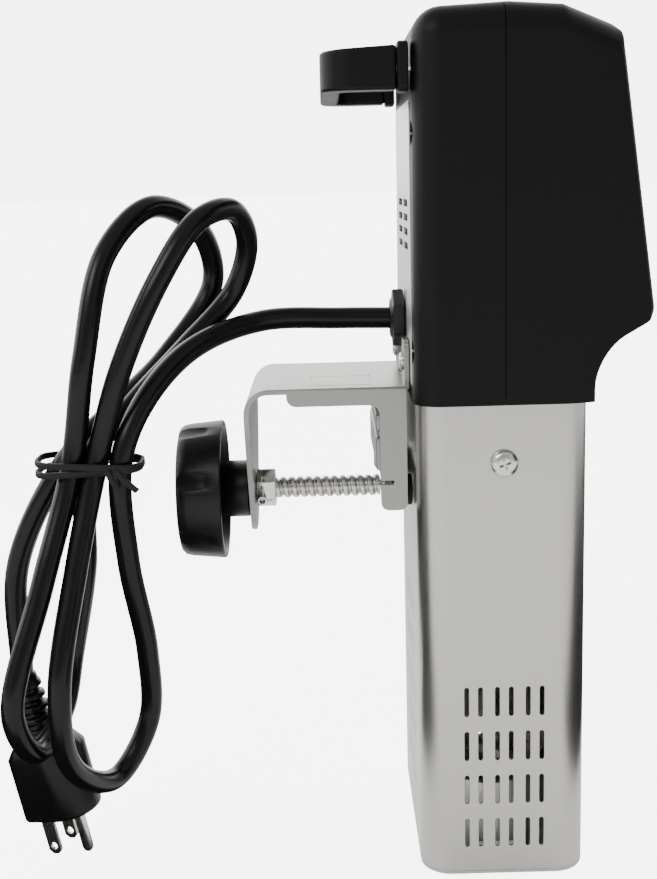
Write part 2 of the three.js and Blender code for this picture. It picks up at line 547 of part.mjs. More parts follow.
piece('handle_bow', handleBow(), 'blackPlastic');
const handleScrew = panScrew(HANDLE_SCREW);
for (const [side, y] of [['near', -handleArmY], ['far', handleArmY]]) {
  piece(`handle_collar_${side}`, handleCollar(y), 'blackPlastic');
  const underHead = HEAD.rear + HANDLE_SEAT.deep + TOUCH;
  placeScrew(`handle_screw_${side}`, handleScrew, 'front', [underHead, y, handleZ]);
}

// ---- clamp: folded sheet bracket hooked over the pot rim ------------------------------------------
function clampBracket() {
  const { sheet, halfWidth, top, left, bend, legLow } = CLAMP;
  const strip = new THREE.Shape(); // the folded section, drawn in x and z
  strip.moveTo(JAW.right, top);
  strip.absarc(left + bend, top - bend, bend, QUARTER, Math.PI);
  strip.lineTo(left, legLow);
  strip.lineTo(left + sheet, legLow);
  strip.absarc(left + bend, top - bend, bend - sheet, Math.PI, QUARTER, true);
  strip.lineTo(JAW.right, top - sheet);
  strip.closePath();

  const legOutline = new THREE.Shape(); // the hanging leg narrows to a rounded end
  legOutline.moveTo(-halfWidth, top + 1);
  legOutline.lineTo(-halfWidth, LEG.taperFrom);
  legOutline.lineTo(-LEG.halfEnd, legLow + LEG.endRise);
  legOutline.absarc(0, legLow + LEG.endRadius, LEG.endRadius, Math.PI + LEG.endAngle, -LEG.endAngle);
  legOutline.lineTo(halfWidth, LEG.taperFrom);
  legOutline.lineTo(halfWidth, top + 1);
  legOutline.closePath();
  const folded = solid(extrude(strip, 'y', -halfWidth, halfWidth));
  const hook = folded.intersect(solid(extrude(legOutline, 'x', left - 1, JAW.right + 1)));

  const { web, webLow, low, right, lip, lipFrom, lipRadius, foot } = JAW;
  const cheek = new THREE.Shape(); // one side flange: a lip along the top and the channel below
  cheek.moveTo(right, top - 1);
  cheek.lineTo(left + lipFrom, top - 1);
  cheek.absarc(left + lipFrom + 2, top - lip + lipRadius, lipRadius, Math.PI, 3 * QUARTER);
  cheek.lineTo(web - 2, top - lip);
  cheek.lineTo(web, top - lip - 2);
  cheek.lineTo(web, low);
  cheek.absarc(right - foot, low + foot, foot, 3 * QUARTER, 4 * QUARTER);
  cheek.closePath();
  const cheeks = [-1, 1].map((side) => extrude(
    cheek, 'y', ...inOrder(side * halfWidth, side * (halfWidth - sheet))));
  const jawWeb = block([web, web + sheet], [-halfWidth, halfWidth], [webLow, top - 1]);
  const ribs = JAW_RIB.spans.map(([from, to]) => {
    const centre = [0, (from + to) / 2];
    const outline = roundedRectangle(halfWidth - JAW_RIB.inset, (to - from) / 2, JAW_RIB.radius, centre);
    return extrude(outline, 'x', web - JAW_RIB.proud, web + 1);
  });
  const strap = block(
    [right - sheet, right], [-halfWidth, halfWidth], [low + JAW_STRAP.low, low + JAW_STRAP.high]);
  const tabs = [-BRACKET_SCREW.y, BRACKET_SCREW.y].map((y) => {
    const { halfWidth: halfTab, halfTall, radius, rise } = BRACKET_TAB;
    const outline = roundedRectangle(halfTab, halfTall, radius, [y, top + rise]);
    return extrude(outline, 'x', right - 2 * TOUCH, HEAD.rear - GAP, 4);
  });
  const reliefOutline = roundedRectangle(
    RELIEF.half, RELIEF.halfTall, RELIEF.halfTall - 0.05, [web + RELIEF.x, webLow - RELIEF.below]);
  const bumperHoles = [-BUMPER.y, BUMPER.y].map((y) => rod(
    'x', BUMPER.hole, ...THROUGH_REAR, [y, low + BUMPER.rise], 12));
  const screwPassage = rod('x', SCREW.radius + SCREW.clear, left - 5, left + 10, [0, SCREW.z]);
  return cut(fuse(hook, ...cheeks, jawWeb, ...ribs, strap, ...tabs),
    extrude(reliefOutline, 'y', -FAR, FAR), ...bracketScrewHoles, screwPassage, ...bumperHoles);
}

piece('clamp_bracket', clampBracket(), 'steel');
const bracketScrew = panScrew(BRACKET_SCREW);
const tabFace = JAW.right - GAP;
placeScrew('bracket_screw_near', bracketScrew, 'rear', [tabFace, -BRACKET_SCREW.y, BRACKET_SCREW.z]);
placeScrew('bracket_screw_far', bracketScrew, 'rear', [tabFace, BRACKET_SCREW.y, BRACKET_SCREW.z]);

const nutLeft = CLAMP.left + CLAMP.sheet + GAP;
const nutHex = solid(extrude(hexagon(CLAMP_NUT.acrossFlats), 'x', nutLeft, nutLeft + CLAMP_NUT.thick));
const nutBore = rod('x', SCREW.radius + SCREW.clear, nutLeft - 5, nutLeft + 20);
piece('clamp_nut', cut(nutHex, nutBore), 'brightSteel').position.z = SCREW.z;

function clampBumper() {
  const { radius, edge, thick, stem, stemLong } = BUMPER;
  const foot = turn([[0, 0], [edge, 0], [radius, 0.4], [edge, thick], [0, thick]], 24).rotateY(QUARTER);
  return join(foot, rod('x', stem, -stemLong, 0.5));
}
for (const [side, y] of [['near', -BUMPER.y], ['far', BUMPER.y]]) {
  const bumper = piece(`clamp_bumper_${side}`, clampBumper(), 'blackRubber');
  bumper.position.set(JAW.right + GAP, y, JAW.low + BUMPER.rise);
}

// ---- clamp screw: threaded rod, knob, cap and pressure pad, drawn along +X from the origin --------
function clampScrew() {
  const { radius, core, back, tail, tip, stud } = SCREW;
  return turn([[0, back], [core, back], [core, tail], [radius, tail + 1], [radius, tip - 2], [core, tip - 1],
    [stud, tip - 1], [stud, tip + 2], [0, tip + 2]], 16).rotateY(QUARTER);
}

function clampKnob() {
  const { left, rim, radius, wall, hub, faceDeep, hole, holeDeep } = KNOB;
  const bore = SCREW.radius + GAP;
  const hubEnd = CLAMP.left - 0.6;
  const profile = [
    [hole, left + 1.5], [radius - 5, left], [radius - 2, left + 1.5], [radius - 1.2, left + 5],
    [radius, rim], [radius - wall, rim], [radius - wall - 1.4, left + faceDeep + 1], [hub, left + faceDeep],
    [hub, hubEnd], [bore, hubEnd], [bore, left + holeDeep], [hole, left + holeDeep], [hole, left + 1.5],
  ];
  const grips = [];
  for (let i = 0; i < GRIP.count; i += 1) {
    const angle = THREE.MathUtils.degToRad(GRIP.start) + (i * 2 * Math.PI) / GRIP.count;
    const centre = [GRIP.away * Math.cos(angle), GRIP.away * Math.sin(angle)];
    grips.push(rod('x', GRIP.radius, left - 1, rim - GRIP.end, centre, 8));
  }
  return cut(solid(turn(profile, 24).rotateY(QUARTER)), ...grips);
}

function pressurePad() {
  const { radius, edge, rim, back, thick, socket, socketEnd } = PAD;
  const disc = turn([[0, 0], [edge, 0], [radius, 1], [radius, rim], [back, thick], [0, thick]], 24);
  return cut(solid(disc.rotateY(-QUARTER)), rod('x', socket, -thick - 1, -socketEnd, [0, 0], 16));
}

const screwLine = new THREE.Group();
screwLine.position.set(0, 0, SCREW.z);
group.add(screwLine);
piece('clamp_screw', clampScrew(), 'brightSteel', screwLine);
piece('clamp_knob', clampKnob(), 'blackPlastic', screwLine);
const knobCap = rod('x', KNOB_CAP.radius, -KNOB_CAP.front, -KNOB_CAP.back, [0, 0], 20);
piece('knob_cap', knobCap, 'blackPlastic', screwLine).position.x = KNOB.left + KNOB_CAP.seat;
piece('pressure_pad', pressurePad(), 'brightSteel', screwLine).position.x = JAW.right - PAD.clear;

// ---- drive: motor, shaft, fan, impeller -----------------------------------------------------------
function motor() {
  const { radius, band, bandEnd, low, high, shoulder, bearing } = MOTOR;
  const bore = SHAFT.radius + bearing;
  return turn([
    [bore, low], [radius, low], [radius, low + bandEnd], [band, low + bandEnd],
    [band, high - bandEnd], [radius, high - bandEnd], [radius, high - shoulder],
    [radius - shoulder, high], [bore, high], [bore, low],
  ], 24);
}

const shaftBore = SHAFT.radius + GAP;

function fan() {
  const { hub, low, high, blades, blade: size, twist, away } = FAN;
  const boss = turn([[shaftBore, low], [hub, low], [hub, high], [shaftBore, high], [shaftBore, low]]);
  const ring = [];
  for (let i = 0; i < blades; i += 1) {
    const blade = new THREE.BoxGeometry(...size);
    blade.rotateX(twist).translate(away, 0, (low + high) / 2).rotateZ((i * 2 * Math.PI) / blades);
    ring.push(blade);
  }
  return join(boss, ...ring);
}

function impeller() {
  const { disc, low, thick, hub, high } = IMPELLER;
  const wheel = turn([[shaftBore, low], [disc, low], [disc, low + thick], [hub, low + thick], [hub, high],
    [shaftBore, high], [shaftBore, low]]);
  const vanes = [];
  for (let i = 0; i < VANE.count; i += 1) {
    const vane = new THREE.BoxGeometry(...VANE.size);
    vane.rotateZ(VANE.sweep).translate(VANE.away, 0, VANE.z).rotateZ((i * 2 * Math.PI) / VANE.count);
    vanes.push(vane);
  }
  return join(wheel, ...vanes);
}

function motorStand() {
  const { radius, top, plate, leg, legAway, legAngle, bore } = STAND;
  const disc = rod('z', radius, top - plate, top, [0, 0], 24);
  const legs = [legAngle, Math.PI - legAngle, Math.PI + legAngle, -legAngle].map((angle) => {
    const centre = [legAway * Math.cos(angle), legAway * Math.sin(angle)];
    return rod('z', leg, CHASSIS.z + CHASSIS.thick + GAP, top - 1, centre, 8);
  });
  return cut(join(disc, ...legs), rod('z', bore, 0, FAR, [0, 0], 16));
}

piece('motor_stand', motorStand(), 'steel');
piece('motor', motor(), 'motorPaint');
piece('rotor_shaft', rod('z', SHAFT.radius, SHAFT.low, SHAFT.high, [0, 0], 16), 'brightSteel');
piece('cooling_fan', fan(), 'greyPlastic');
piece('impeller', impeller(), 'greyPlastic');
const columnTop = CHASSIS.z + CHASSIS.thick - GAP;
const column = turn([[COLUMN.inner, COLUMN.low], [COLUMN.outer, COLUMN.low], [COLUMN.outer, columnTop],
  [COLUMN.inner, columnTop], [COLUMN.inner, COLUMN.low]]);
piece('shaft_column', column, 'steel');
const bush = turn([[shaftBore, BUSH.low], [BUSH.flange, BUSH.low], [BUSH.flange, BUSH.shoulder],
  [BUSH.neck, BUSH.shoulder], [BUSH.neck, BUSH.high], [shaftBore, BUSH.high], [shaftBore, BUSH.low]]);
piece('shaft_bush', bush, 'whitePlastic');

// ---- heating and sensing: all hang from the chassis plate ----------------------------------------
function heaterCoil() {
  const { radiusX, radiusY, low, high, turns, start } = HEATER;
  const { top, bend } = HEATER_ENDS;
  const [inX, inY] = PASSAGES.heaterIn;
  const [outX, outY] = PASSAGES.heaterOut;
  const route = [[inX, inY, top], [inX, inY, bend]];
  const steps = turns * 8;
  for (let i = 0; i <= steps; i += 1) {
    const angle = THREE.MathUtils.degToRad(start) + (i * Math.PI) / 4;
    route.push([radiusX * Math.cos(angle), radiusY * Math.sin(angle), high - ((high - low) * i) / steps]);
  }
  route.push([outX + 1, outY + 3, low + 6], [outX, outY, low + 24], [outX, outY, top]);
  return tube(route, HEATER.tube, 80, 6);
}

/** A thin probe that hangs through the plate and has a collar above it. */
function probe([x, y], radius, low) {
  const stem = rod('z', radius, low, PROBE.top, [x, y]);
  const collarLow = CHASSIS.z + CHASSIS.thick + GAP;
  return join(stem, rod('z', radius + PROBE.collar, collarLow, PROBE.collarTop, [x, y]));
}

piece('heater_coil', heaterCoil(), 'brightSteel');
piece('temperature_probe', probe(PASSAGES.probe, PROBE.stem, PROBE.low), 'brightSteel');
piece('level_probe_low', probe(PASSAGES.levelLow, LEVEL.stem, LEVEL.low), 'brightSteel');
piece('level_probe_high', probe(PASSAGES.levelHigh, LEVEL.stem, LEVEL.high), 'brightSteel');

function powerBoard() {
  const capacitor = rod('y', CAPACITOR.radius, ...CAPACITOR.y, CAPACITOR.place, 12);
  return join(boxOf(POWER_BOARD), boxOf(RELAY), boxOf(HEAT_SINK), capacitor);
}
piece('power_board', powerBoard(), 'board');

// ---- mains lead: gland, cord, tie and plug -------------------------------------------------------
function glandBody() {
  const { acrossFlats, out, thread, threadEnd } = GLAND;
  const hex = extrude(hexagon(acrossFlats), 'x', out, HEAD.rear - GAP);
  const stem = rod('x', thread, HEAD.rear - 1, threadEnd, [0, 0], 24);
  const rim = turn([[0, 0], [SEAL.radius, 0], [SEAL.radius + SEAL.flare, SEAL.end], [0, SEAL.end]], 24);
  rim.rotateY(QUARTER).translate(out - SEAL.out, 0, 0);
  return cut(join(hex, stem, rim), rod('x', CORD_RADIUS + GAP + TOUCH, -FAR, 0, [0, 0], 20));
}

function glandLocknut() {
  const panelInside = HEAD.rear + REAR_PANEL.thick + 0.5;
  const hex = solid(extrude(hexagon(GLAND.acrossFlats), 'x', panelInside, GLAND.nutEnd));
  return cut(hex, rod('x', GLAND.thread + GAP, -FAR, 0, [0, 0], 24));
}

piece('gland_body', glandBody(), 'blackPlastic').position.z = GLAND.z;
piece('gland_locknut', glandLocknut(), 'blackPlastic').position.z = GLAND.z;

piece('mains_cord', tube(CORD_ROUTE, CORD_RADIUS, 80, 8), 'blackVinyl');

function cordTie() {
  const { x, y, halfX, halfY, corner, z, tall, thick } = TIE;
  const outer = roundedRectangle(halfX + thick, halfY + thick, corner + thick, [x, y]);
  const inner = roundedRectangle(halfX, halfY, corner, [x, y]);
  return cut(solid(extrude(outer, 'z', ...span(z, tall))), extrude(inner, 'z', ...span(z, 2 * tall)));
}
piece('cord_tie', cordTie(), 'blackRubber');

// The plug stands in its own frame: its prong face at the origin, the lead above, prongs below.
const plugFrame = new THREE.Group();
plugFrame.position.set(PLUG.x, PLUG.y, PLUG.z);
plugFrame.rotation.y = THREE.MathUtils.degToRad(PLUG.tilt);
group.add(plugFrame);
const plug = new THREE.Group();
plug.rotation.z = THREE.MathUtils.degToRad(PLUG.spin);
plugFrame.add(plug);

/** The ribbed neck above the plug, as a turned profile. */
function reliefNeck() {
  const { root, rib, taper, long } = NECK;
  const { count, first, pitch, deep, groove, land } = NECK_RIB;
  const end = PLUG.length + long;
  const profile = [[0, PLUG.length - 1], [root, PLUG.length - 1]];
  for (let i = 0; i < count; i += 1) {
    const at = PLUG.length + first + i * pitch;
    const radius = rib - i * taper;
    profile.push([radius - deep, at], [radius - deep, at + groove], [radius, at + groove]);
    profile.push([radius, at + groove + land]);
  }
  profile.push([NECK.end, end - 1], [NECK.end, end], [0, end]);
  return turn(profile, 12);
}

function plugBody() {
  const { flat, half, centre, bevel, draw, out } = PLUG_FORM;
  const outline = new THREE.Shape(); // flat on the blade side, round on the earth side
  outline.moveTo(flat, -half);
  outline.lineTo(centre, -half);
  outline.absarc(centre, 0, half, -QUARTER, QUARTER);
  outline.lineTo(flat, half);
  outline.closePath();
  const body = new THREE.ExtrudeGeometry(outline, {
    depth: PLUG.length - 2 * bevel,
    bevelThickness: bevel,
    bevelSize: draw,
    bevelOffset: -out,
    bevelSegments: 1,
    curveSegments: 6,
  });
  body.translate(0, 0, bevel);
  const sockets = [-BLADE.y, BLADE.y].map((y) => block(
    span(BLADE.x, BLADE.wide + 2 * GAP), span(y, BLADE.thick + 2 * GAP), [-1, BLADE.root + GAP]));
  const earthSocket = rod('z', EARTH.radius + GAP, -1, BLADE.root + GAP, [EARTH.x, 0], 12);
  return cut(join(body, reliefNeck()), ...sockets, earthSocket);
}

function plugBlade(y) {
  const { x, wide, thick, long, root, chamfer } = BLADE;
  const outline = new THREE.Shape(); // drawn in x and z, the tip chamfered
  const half = wide / 2;
  outline.moveTo(-half, root);
  outline.lineTo(-half, chamfer - long);
  outline.lineTo(-half + chamfer, -long);
  outline.lineTo(half - chamfer, -long);
  outline.lineTo(half, chamfer - long);
  outline.lineTo(half, root);
  outline.closePath();
  const blade = solid(extrude(outline, 'y', -thick / 2, thick / 2));
  const hole = rod('y', BLADE_HOLE.radius, -thick, thick, [0, BLADE_HOLE.up - long], 12);
  return geometryOf(cut(blade, hole)).translate(x, y, 0);
}

function earthPin() {
  const { radius, long, nose, noseEnd } = EARTH;
  return turn([[0, -long], ...nose.map(([r, up]) => [r, up - long]), [radius, noseEnd - long],
    [radius, BLADE.root], [0, BLADE.root]], 16);
}

piece('plug_body', plugBody(), 'blackVinyl', plug);
piece('plug_blade_near', plugBlade(-BLADE.y), 'brightSteel', plug);
piece('plug_blade_far', plugBlade(BLADE.y), 'brightSteel', plug);
piece('plug_earth_pin', earthPin(), 'brightSteel', plug).position.x = EARTH.x;

export default group;
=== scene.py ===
"""A sous vide circulator with its pot clamp, handle and tied mains lead, modelled piece by piece."""
import math

import bmesh
import bpy
from mathutils import Matrix, Vector


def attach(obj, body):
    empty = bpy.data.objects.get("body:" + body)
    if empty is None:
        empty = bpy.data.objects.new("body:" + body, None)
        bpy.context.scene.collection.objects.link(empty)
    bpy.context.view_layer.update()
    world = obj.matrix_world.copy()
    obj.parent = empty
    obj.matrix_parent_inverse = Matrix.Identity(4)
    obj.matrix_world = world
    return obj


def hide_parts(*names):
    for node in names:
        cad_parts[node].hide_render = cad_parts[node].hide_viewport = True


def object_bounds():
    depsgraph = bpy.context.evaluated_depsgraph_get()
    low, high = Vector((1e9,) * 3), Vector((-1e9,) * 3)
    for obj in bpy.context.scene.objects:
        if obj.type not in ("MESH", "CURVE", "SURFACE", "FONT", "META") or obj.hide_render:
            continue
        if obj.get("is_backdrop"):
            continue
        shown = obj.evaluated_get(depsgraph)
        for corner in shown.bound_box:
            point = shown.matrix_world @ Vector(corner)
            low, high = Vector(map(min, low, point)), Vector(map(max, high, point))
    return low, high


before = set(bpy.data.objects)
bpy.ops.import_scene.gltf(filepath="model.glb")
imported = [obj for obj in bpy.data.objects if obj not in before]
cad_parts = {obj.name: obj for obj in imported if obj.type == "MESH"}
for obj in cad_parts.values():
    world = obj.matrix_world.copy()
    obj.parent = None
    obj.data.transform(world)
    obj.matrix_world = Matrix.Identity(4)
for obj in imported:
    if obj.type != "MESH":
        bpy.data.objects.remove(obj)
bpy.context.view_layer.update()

# ---- Studio ----------------------------------------------------------
# The circulator stands on a wide pale floor in light from all round. Dark bands in that light, and
# dark mats that only reflections meet, draw the corners of the steel. Two lamps add light on the left.


class Value:
    """A number that varies over a surface, so that sums on it read as plain ones."""

    def __init__(self, recipe, socket):
        self.recipe = recipe
        self.socket = socket

    def sum(self, operation, first, second=0.0):
        return self.recipe.node("ShaderNodeMath", {"operation": operation}, {0: first, 1: second})

    def __add__(self, other):
        return self.sum("ADD", self, other)

    def __sub__(self, other):
        return self.sum("SUBTRACT", self, other)

    def __rsub__(self, other):
        return self.sum("SUBTRACT", other, self)

    def __mul__(self, other):
        return self.sum("MULTIPLY", self, other)

    def __abs__(self):
        return self.sum("ABSOLUTE", self)

    __radd__ = __add__
    __rmul__ = __mul__


class Recipe:
    """The nodes of one material, or of the light from all round."""

    def __init__(self, owner):
        owner.use_nodes = True
        self.tree = owner.node_tree
        self.tree.nodes.clear()

    def node(self, kind, settings=None, sockets=None, out=0):
        """Adds a node, sets it up, feeds its sockets and gives back one of its outputs."""
        made = self.tree.nodes.new(kind)
        for name, setting in (settings or {}).items():
            if name == "stops":
                for stop in range(len(setting) - 2):
                    made.color_ramp.elements.new(0.5)
                for element, (place, shade) in zip(made.color_ramp.elements, setting):
                    element.position = place
                    element.color = (shade, shade, shade, 1)
            else:
                setattr(made, name, setting)
        for name, fed in (sockets or {}).items():
            if isinstance(fed, Value):
                self.tree.links.new(fed.socket, made.inputs[name])
            else:
                made.inputs[name].default_value = fed
        return Value(self, made.outputs[out]) if made.outputs else None


floor_drop, floor_lit, floor_seen = 0.0003, 0.40, 5.2
bpy.ops.mesh.primitive_circle_add(vertices=96, radius=30, fill_type="NGON", location=(0, 0, -floor_drop))
floor = bpy.context.object
floor.name = "studio_floor"
paper = bpy.data.materials.new("pale_paper")
mix = Recipe(paper)
seen = mix.node("ShaderNodeLightPath", out="Is Camera Ray")
flecks = mix.node("ShaderNodeTexNoise", sockets={"Scale": 40.0, "Detail": 3.0})
backlight = mix.node("ShaderNodeCombineColor", sockets={
    name: floor_lit + floor_seen * seen for name in ("Red", "Green", "Blue")})
skin = mix.node("ShaderNodeBsdfPrincipled", sockets={
    "Base Color": (0.86, 0.86, 0.855, 1), "Roughness": 0.85 + 0.1 * flecks,
    "Emission Color": backlight, "Emission Strength": 1.0})
mix.node("ShaderNodeOutputMaterial", sockets={"Surface": skin})
floor.data.materials.append(paper)
floor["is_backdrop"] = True

velvet = bpy.data.materials.new("black_velvet")
mix = Recipe(velvet)
skin = mix.node("ShaderNodeBsdfDiffuse", sockets={"Color": (0.01, 0.01, 0.01, 1)})
mix.node("ShaderNodeOutputMaterial", sockets={"Surface": skin})
# The low and the high corner of each mat, on the floor.
MATS = (((-0.9, 0.075), (-0.25, 1.6)), ((0.05, 0.075), (0.9, 1.6)), ((0.12, -0.22), (0.9, 0.075)),
        ((-0.9, -0.16), (-0.14, 0.075)))
for corner, opposite in ((Vector(low), Vector(high)) for low, high in MATS):
    bpy.ops.mesh.primitive_plane_add(size=1, location=(*(corner + opposite) / 2, 0.0))
    mat = bpy.context.object
    mat.name = "reflected_mat"
    mat.scale = (*(opposite - corner), 1)
    mat.data.materials.append(velvet)
    mat.visible_camera = mat.visible_diffuse = mat.visible_shadow = mat.visible_transmission = False
    mat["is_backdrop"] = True

studio = bpy.data.worlds.new("soft_studio")
bpy.context.scene.world = studio
mix = Recipe(studio)
heading = mix.node("ShaderNodeTexCoord", out="Generated")
axes = {name: mix.node("ShaderNodeSeparateXYZ", sockets={0: heading}, out=name) for name in "XYZ"}
walls = mix.node("ShaderNodeValToRGB", {"stops": [
    (0.0, 0.50), (0.08, 0.50), (0.14, 1.0), (0.19, 1.0), (0.26, 0.42), (0.60, 0.44), (0.76, 0.62),
    (0.82, 0.90), (0.87, 0.40), (0.91, 0.04), (1.0, 0.03)]}, {0: axes["X"] * 0.5 + 0.5})
behind = mix.node("ShaderNodeMapRange", {"interpolation_type": "SMOOTHSTEP"},
                  {"Value": axes["Y"], "From Min": 0.0, "From Max": 0.45})
above = mix.node("ShaderNodeMapRange", {"interpolation_type": "SMOOTHSTEP"},
                 {"Value": axes["Z"], "From Min": 0.45, "From Max": 0.95})
rear_glow, top_glow, glow_seen = 3.2, 0.65, 6.0
level = walls * (1 - behind) + rear_glow * behind
level = level * (1 - above) + top_glow * above
seen = mix.node("ShaderNodeLightPath", out="Is Camera Ray")
glow = mix.node("ShaderNodeBackground", sockets={
    "Color": (1, 1, 0.995, 1), "Strength": level * (1 - seen) + glow_seen * seen})
mix.node("ShaderNodeOutputWorld", sockets={"Surface": glow})

LAMPS = {  # place, wide, tall, watts: a soft lamp above, and a narrow one over the clamp side
    "soft_lamp": ((-0.9, -1.1, 1.25), 0.9, 0.5, 9),
    "edge_lamp": ((-1.0, 0.0, 0.62), 0.25, 0.6, 2.2),
}
lamp_aim = Vector((0.0, 0.0, 0.2))
for name, (place, wide, tall, watts) in LAMPS.items():
    bpy.ops.object.light_add(type="AREA", location=place)
    lamp = bpy.context.object
    lamp.name = name
    lamp.data.shape = "RECTANGLE"
    lamp.data.size = wide
    lamp.data.size_y = tall
    lamp.data.energy = watts
    lamp.rotation_euler = (lamp_aim - lamp.location).to_track_quat("-Z", "Y").to_euler()

eye = Vector((-0.07065, -0.570, 0.2946))
tilt_down = math.radians(90 - 11.25)
roll = math.radians(-1.55)
bpy.ops.object.camera_add()
camera = bpy.context.object
camera.name = "camera"
camera.matrix_world = (
    Matrix.Translation(eye) @ Matrix.Rotation(tilt_down, 4, "X") @ Matrix.Rotation(roll, 4, "Z"))
camera.data.lens = 53.24
camera.data.sensor_width = 36
camera.data.clip_start = 0.02
bpy.context.scene.camera = camera

# ---- Mains lead ------------------------------------------------------
# A three-core lead in glossy black vinyl. It leaves the gland straight, droops to the tie, is
# folded up and down through it as a hank for storage, and ends in the moulded plug.


def moulded(name, dark, light, roughness=0.45, grain=900.0, depth=0.06, specular=0.35, coat=0.0):
    """Moulded plastic or rubber: a fine spark texture, with faint clouds in shade and gloss."""
    made = bpy.data.materials.new(name)
    mix = Recipe(made)
    place = mix.node("ShaderNodeTexCoord", out="Object")
    clouds = mix.node("ShaderNodeTexNoise", sockets={"Vector": place, "Scale": 28.0, "Detail": 4.0})
    sparks = mix.node("ShaderNodeTexNoise", sockets={"Vector": place, "Scale": grain, "Detail": 3.0})
    shade = mix.node("ShaderNodeMix", {"data_type": "RGBA"}, {
        "Factor": clouds * 0.6 + sparks * 0.4, 6: (*dark, 1), 7: (*light, 1)}, out=2)
    bumps = mix.node("ShaderNodeBump", sockets={"Strength": depth, "Distance": 0.0004, "Height": sparks})
    skin = mix.node("ShaderNodeBsdfPrincipled", sockets={
        "Base Color": shade, "Roughness": roughness - 0.07 + 0.10 * clouds + 0.06 * sparks, "Normal": bumps,
        "Specular IOR Level": specular, "Coat Weight": coat})
    mix.node("ShaderNodeOutputMaterial", sockets={"Surface": skin})
    return made


def smooth_route(corners, steps):
    """A centripetal curve through the corners of a route, as evenly run as a real lead."""
    ends = [2 * corners[0] - corners[1], *corners, 2 * corners[-1] - corners[-2]]
    route = [corners[0]]
    for before, start, end, after in zip(ends, ends[1:], ends[2:], ends[3:]):
        first, gap, last = (math.sqrt((b - a).length)
                            for a, b in ((before, start), (start, end), (end, after)))
        leave = ((start - before) / first - (end - before) / (first + gap) + (end - start) / gap) * gap
        arrive = ((end - start) / gap - (after - start) / (gap + last) + (after - end) / last) * gap
        for step in range(1, steps + 1):
            t = step / steps
            route.append(start + leave * t + (3 * (end - start) - 2 * leave - arrive) * t ** 2
                         + (2 * (start - end) + leave + arrive) * t ** 3)
    return route


lead_radius = 0.0047
lead_corners = [Vector(place) / 1000 for place in (
    (-41.7, 0, 235), (-64, 0, 235.5), (-98, -8, 236), (-127, -30, 227), (-146, -49, 207),
    (-154.6, -56.5, 185), (-155, -50, 142), (-151, -38, 98), (-153, -33, 64), (-166, -46, 44),
    (-179, -74, 62), (-180, -84, 98), (-173, -69, 145),
    (-164.5, -57, 185), (-153, -58, 222), (-136, -54, 258), (-121, -44, 280), (-108, -28, 284),
    (-103, -12, 270), (-110, -4, 249), (-131, -17, 226), (-152, -38, 205),
    (-169.3, -47.5, 185), (-174, -45, 138), (-183, -38, 98), (-186, -51, 78), (-193, -76, 70),
    (-198, -88, 92), (-186, -73, 140),
    (-174.4, -57, 185), (-167, -57, 228), (-158, -46, 268), (-141, -27, 286), (-124, -5, 276),
    (-120, 8, 252), (-140, -6, 222), (-160, -34, 203),
    (-179.2, -47.5, 184), (-202, -46, 140), (-203.6, -46, 93.6))]
lead_path = smooth_route(lead_corners, 12)
lead_length = sum((b - a).length for a, b in zip(lead_path, lead_path[1:]))

line = bpy.data.curves.new("lead_line", "CURVE")
line.dimensions = "3D"
line.bevel_depth = lead_radius
line.bevel_resolution = 6
line.use_fill_caps = True
run = line.splines.new("POLY")
run.points.add(len(lead_path) - 1)
for point, place in zip(run.points, lead_path):
    point.co = (*place, 1)
mains_lead = bpy.data.objects.new("lead", line)
bpy.context.scene.collection.objects.link(mains_lead)


def alone(piece):
    """Makes a piece the only one that the next operator works on."""
    bpy.ops.object.select_all(action="DESELECT")
    piece.select_set(True)
    bpy.context.view_layer.objects.active = piece


alone(mains_lead)
bpy.ops.object.convert(target="MESH")
bpy.ops.object.shade_smooth()
lead_vinyl = moulded("lead_vinyl", 3 * (0.0025,), 3 * (0.006,), 0.24, 260.0, 0.10, 0.24)
mains_lead.data.materials.append(lead_vinyl)
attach(mains_lead, "root")
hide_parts("mains_cord")

# ---- Plug ------------------------------------------------------------
# A moulded straight plug in the same vinyl as the lead, flat on the blade side and round on the
# earth side, with a strain relief of four separate rings where the lead enters.
mm = 0.001
plug_place = Vector((-190.4, -46, 30.1))
plug_frame = (Matrix.Translation(plug_place) @ Matrix.Rotation(math.radians(-11.6), 4, "Y")
              @ Matrix.Rotation(math.radians(-22), 4, "Z"))


def newest(name):
    """Names the shape just made and brings its place, turn and scale into its points."""
    made = bpy.context.object
    made.name = name
    bpy.ops.object.transform_apply(location=True, rotation=True, scale=True)
    return made


def block(name, low, high):
    """A block between two corners, in millimetres, to be shaped further."""
    low, high = Vector(low), Vector(high)
    bpy.ops.mesh.primitive_cube_add(size=1, location=(low + high) / 2)
    bpy.context.object.scale = high - low
    return newest(name)


def choose(piece, kind, test):
    """In edit mode, selects the faces, edges or points whose middle passes a test."""
    bpy.ops.mesh.select_mode(type=kind)
    bpy.ops.mesh.select_all(action="DESELECT")
    shape = bmesh.from_edit_mesh(piece.data)
    if kind == "FACE":
        for face in shape.faces:
            face.select_set(bool(test(face.calc_center_median(), face.normal)))
    elif kind == "EDGE":
        for edge in shape.edges:
            start, end = (corner.co for corner in edge.verts)
            edge.select_set(bool(test((start + end) / 2, (end - start).normalized())))
    else:
        for corner in shape.verts:
            corner.select_set(bool(test(corner.co, corner.normal)))
    shape.select_flush_mode()
    bmesh.update_edit_mesh(piece.data)


def upright(place, way):
    """True for an edge that stands upright, and for a face that looks up or down."""
    return abs(way.z) > 0.9


def edit(piece):
    alone(piece)
    bpy.ops.object.mode_set(mode="EDIT")


def done():
    bpy.ops.object.mode_set(mode="OBJECT")


def extrude(offset):
    bpy.ops.mesh.extrude_region_move(TRANSFORM_OT_translate={"value": offset})


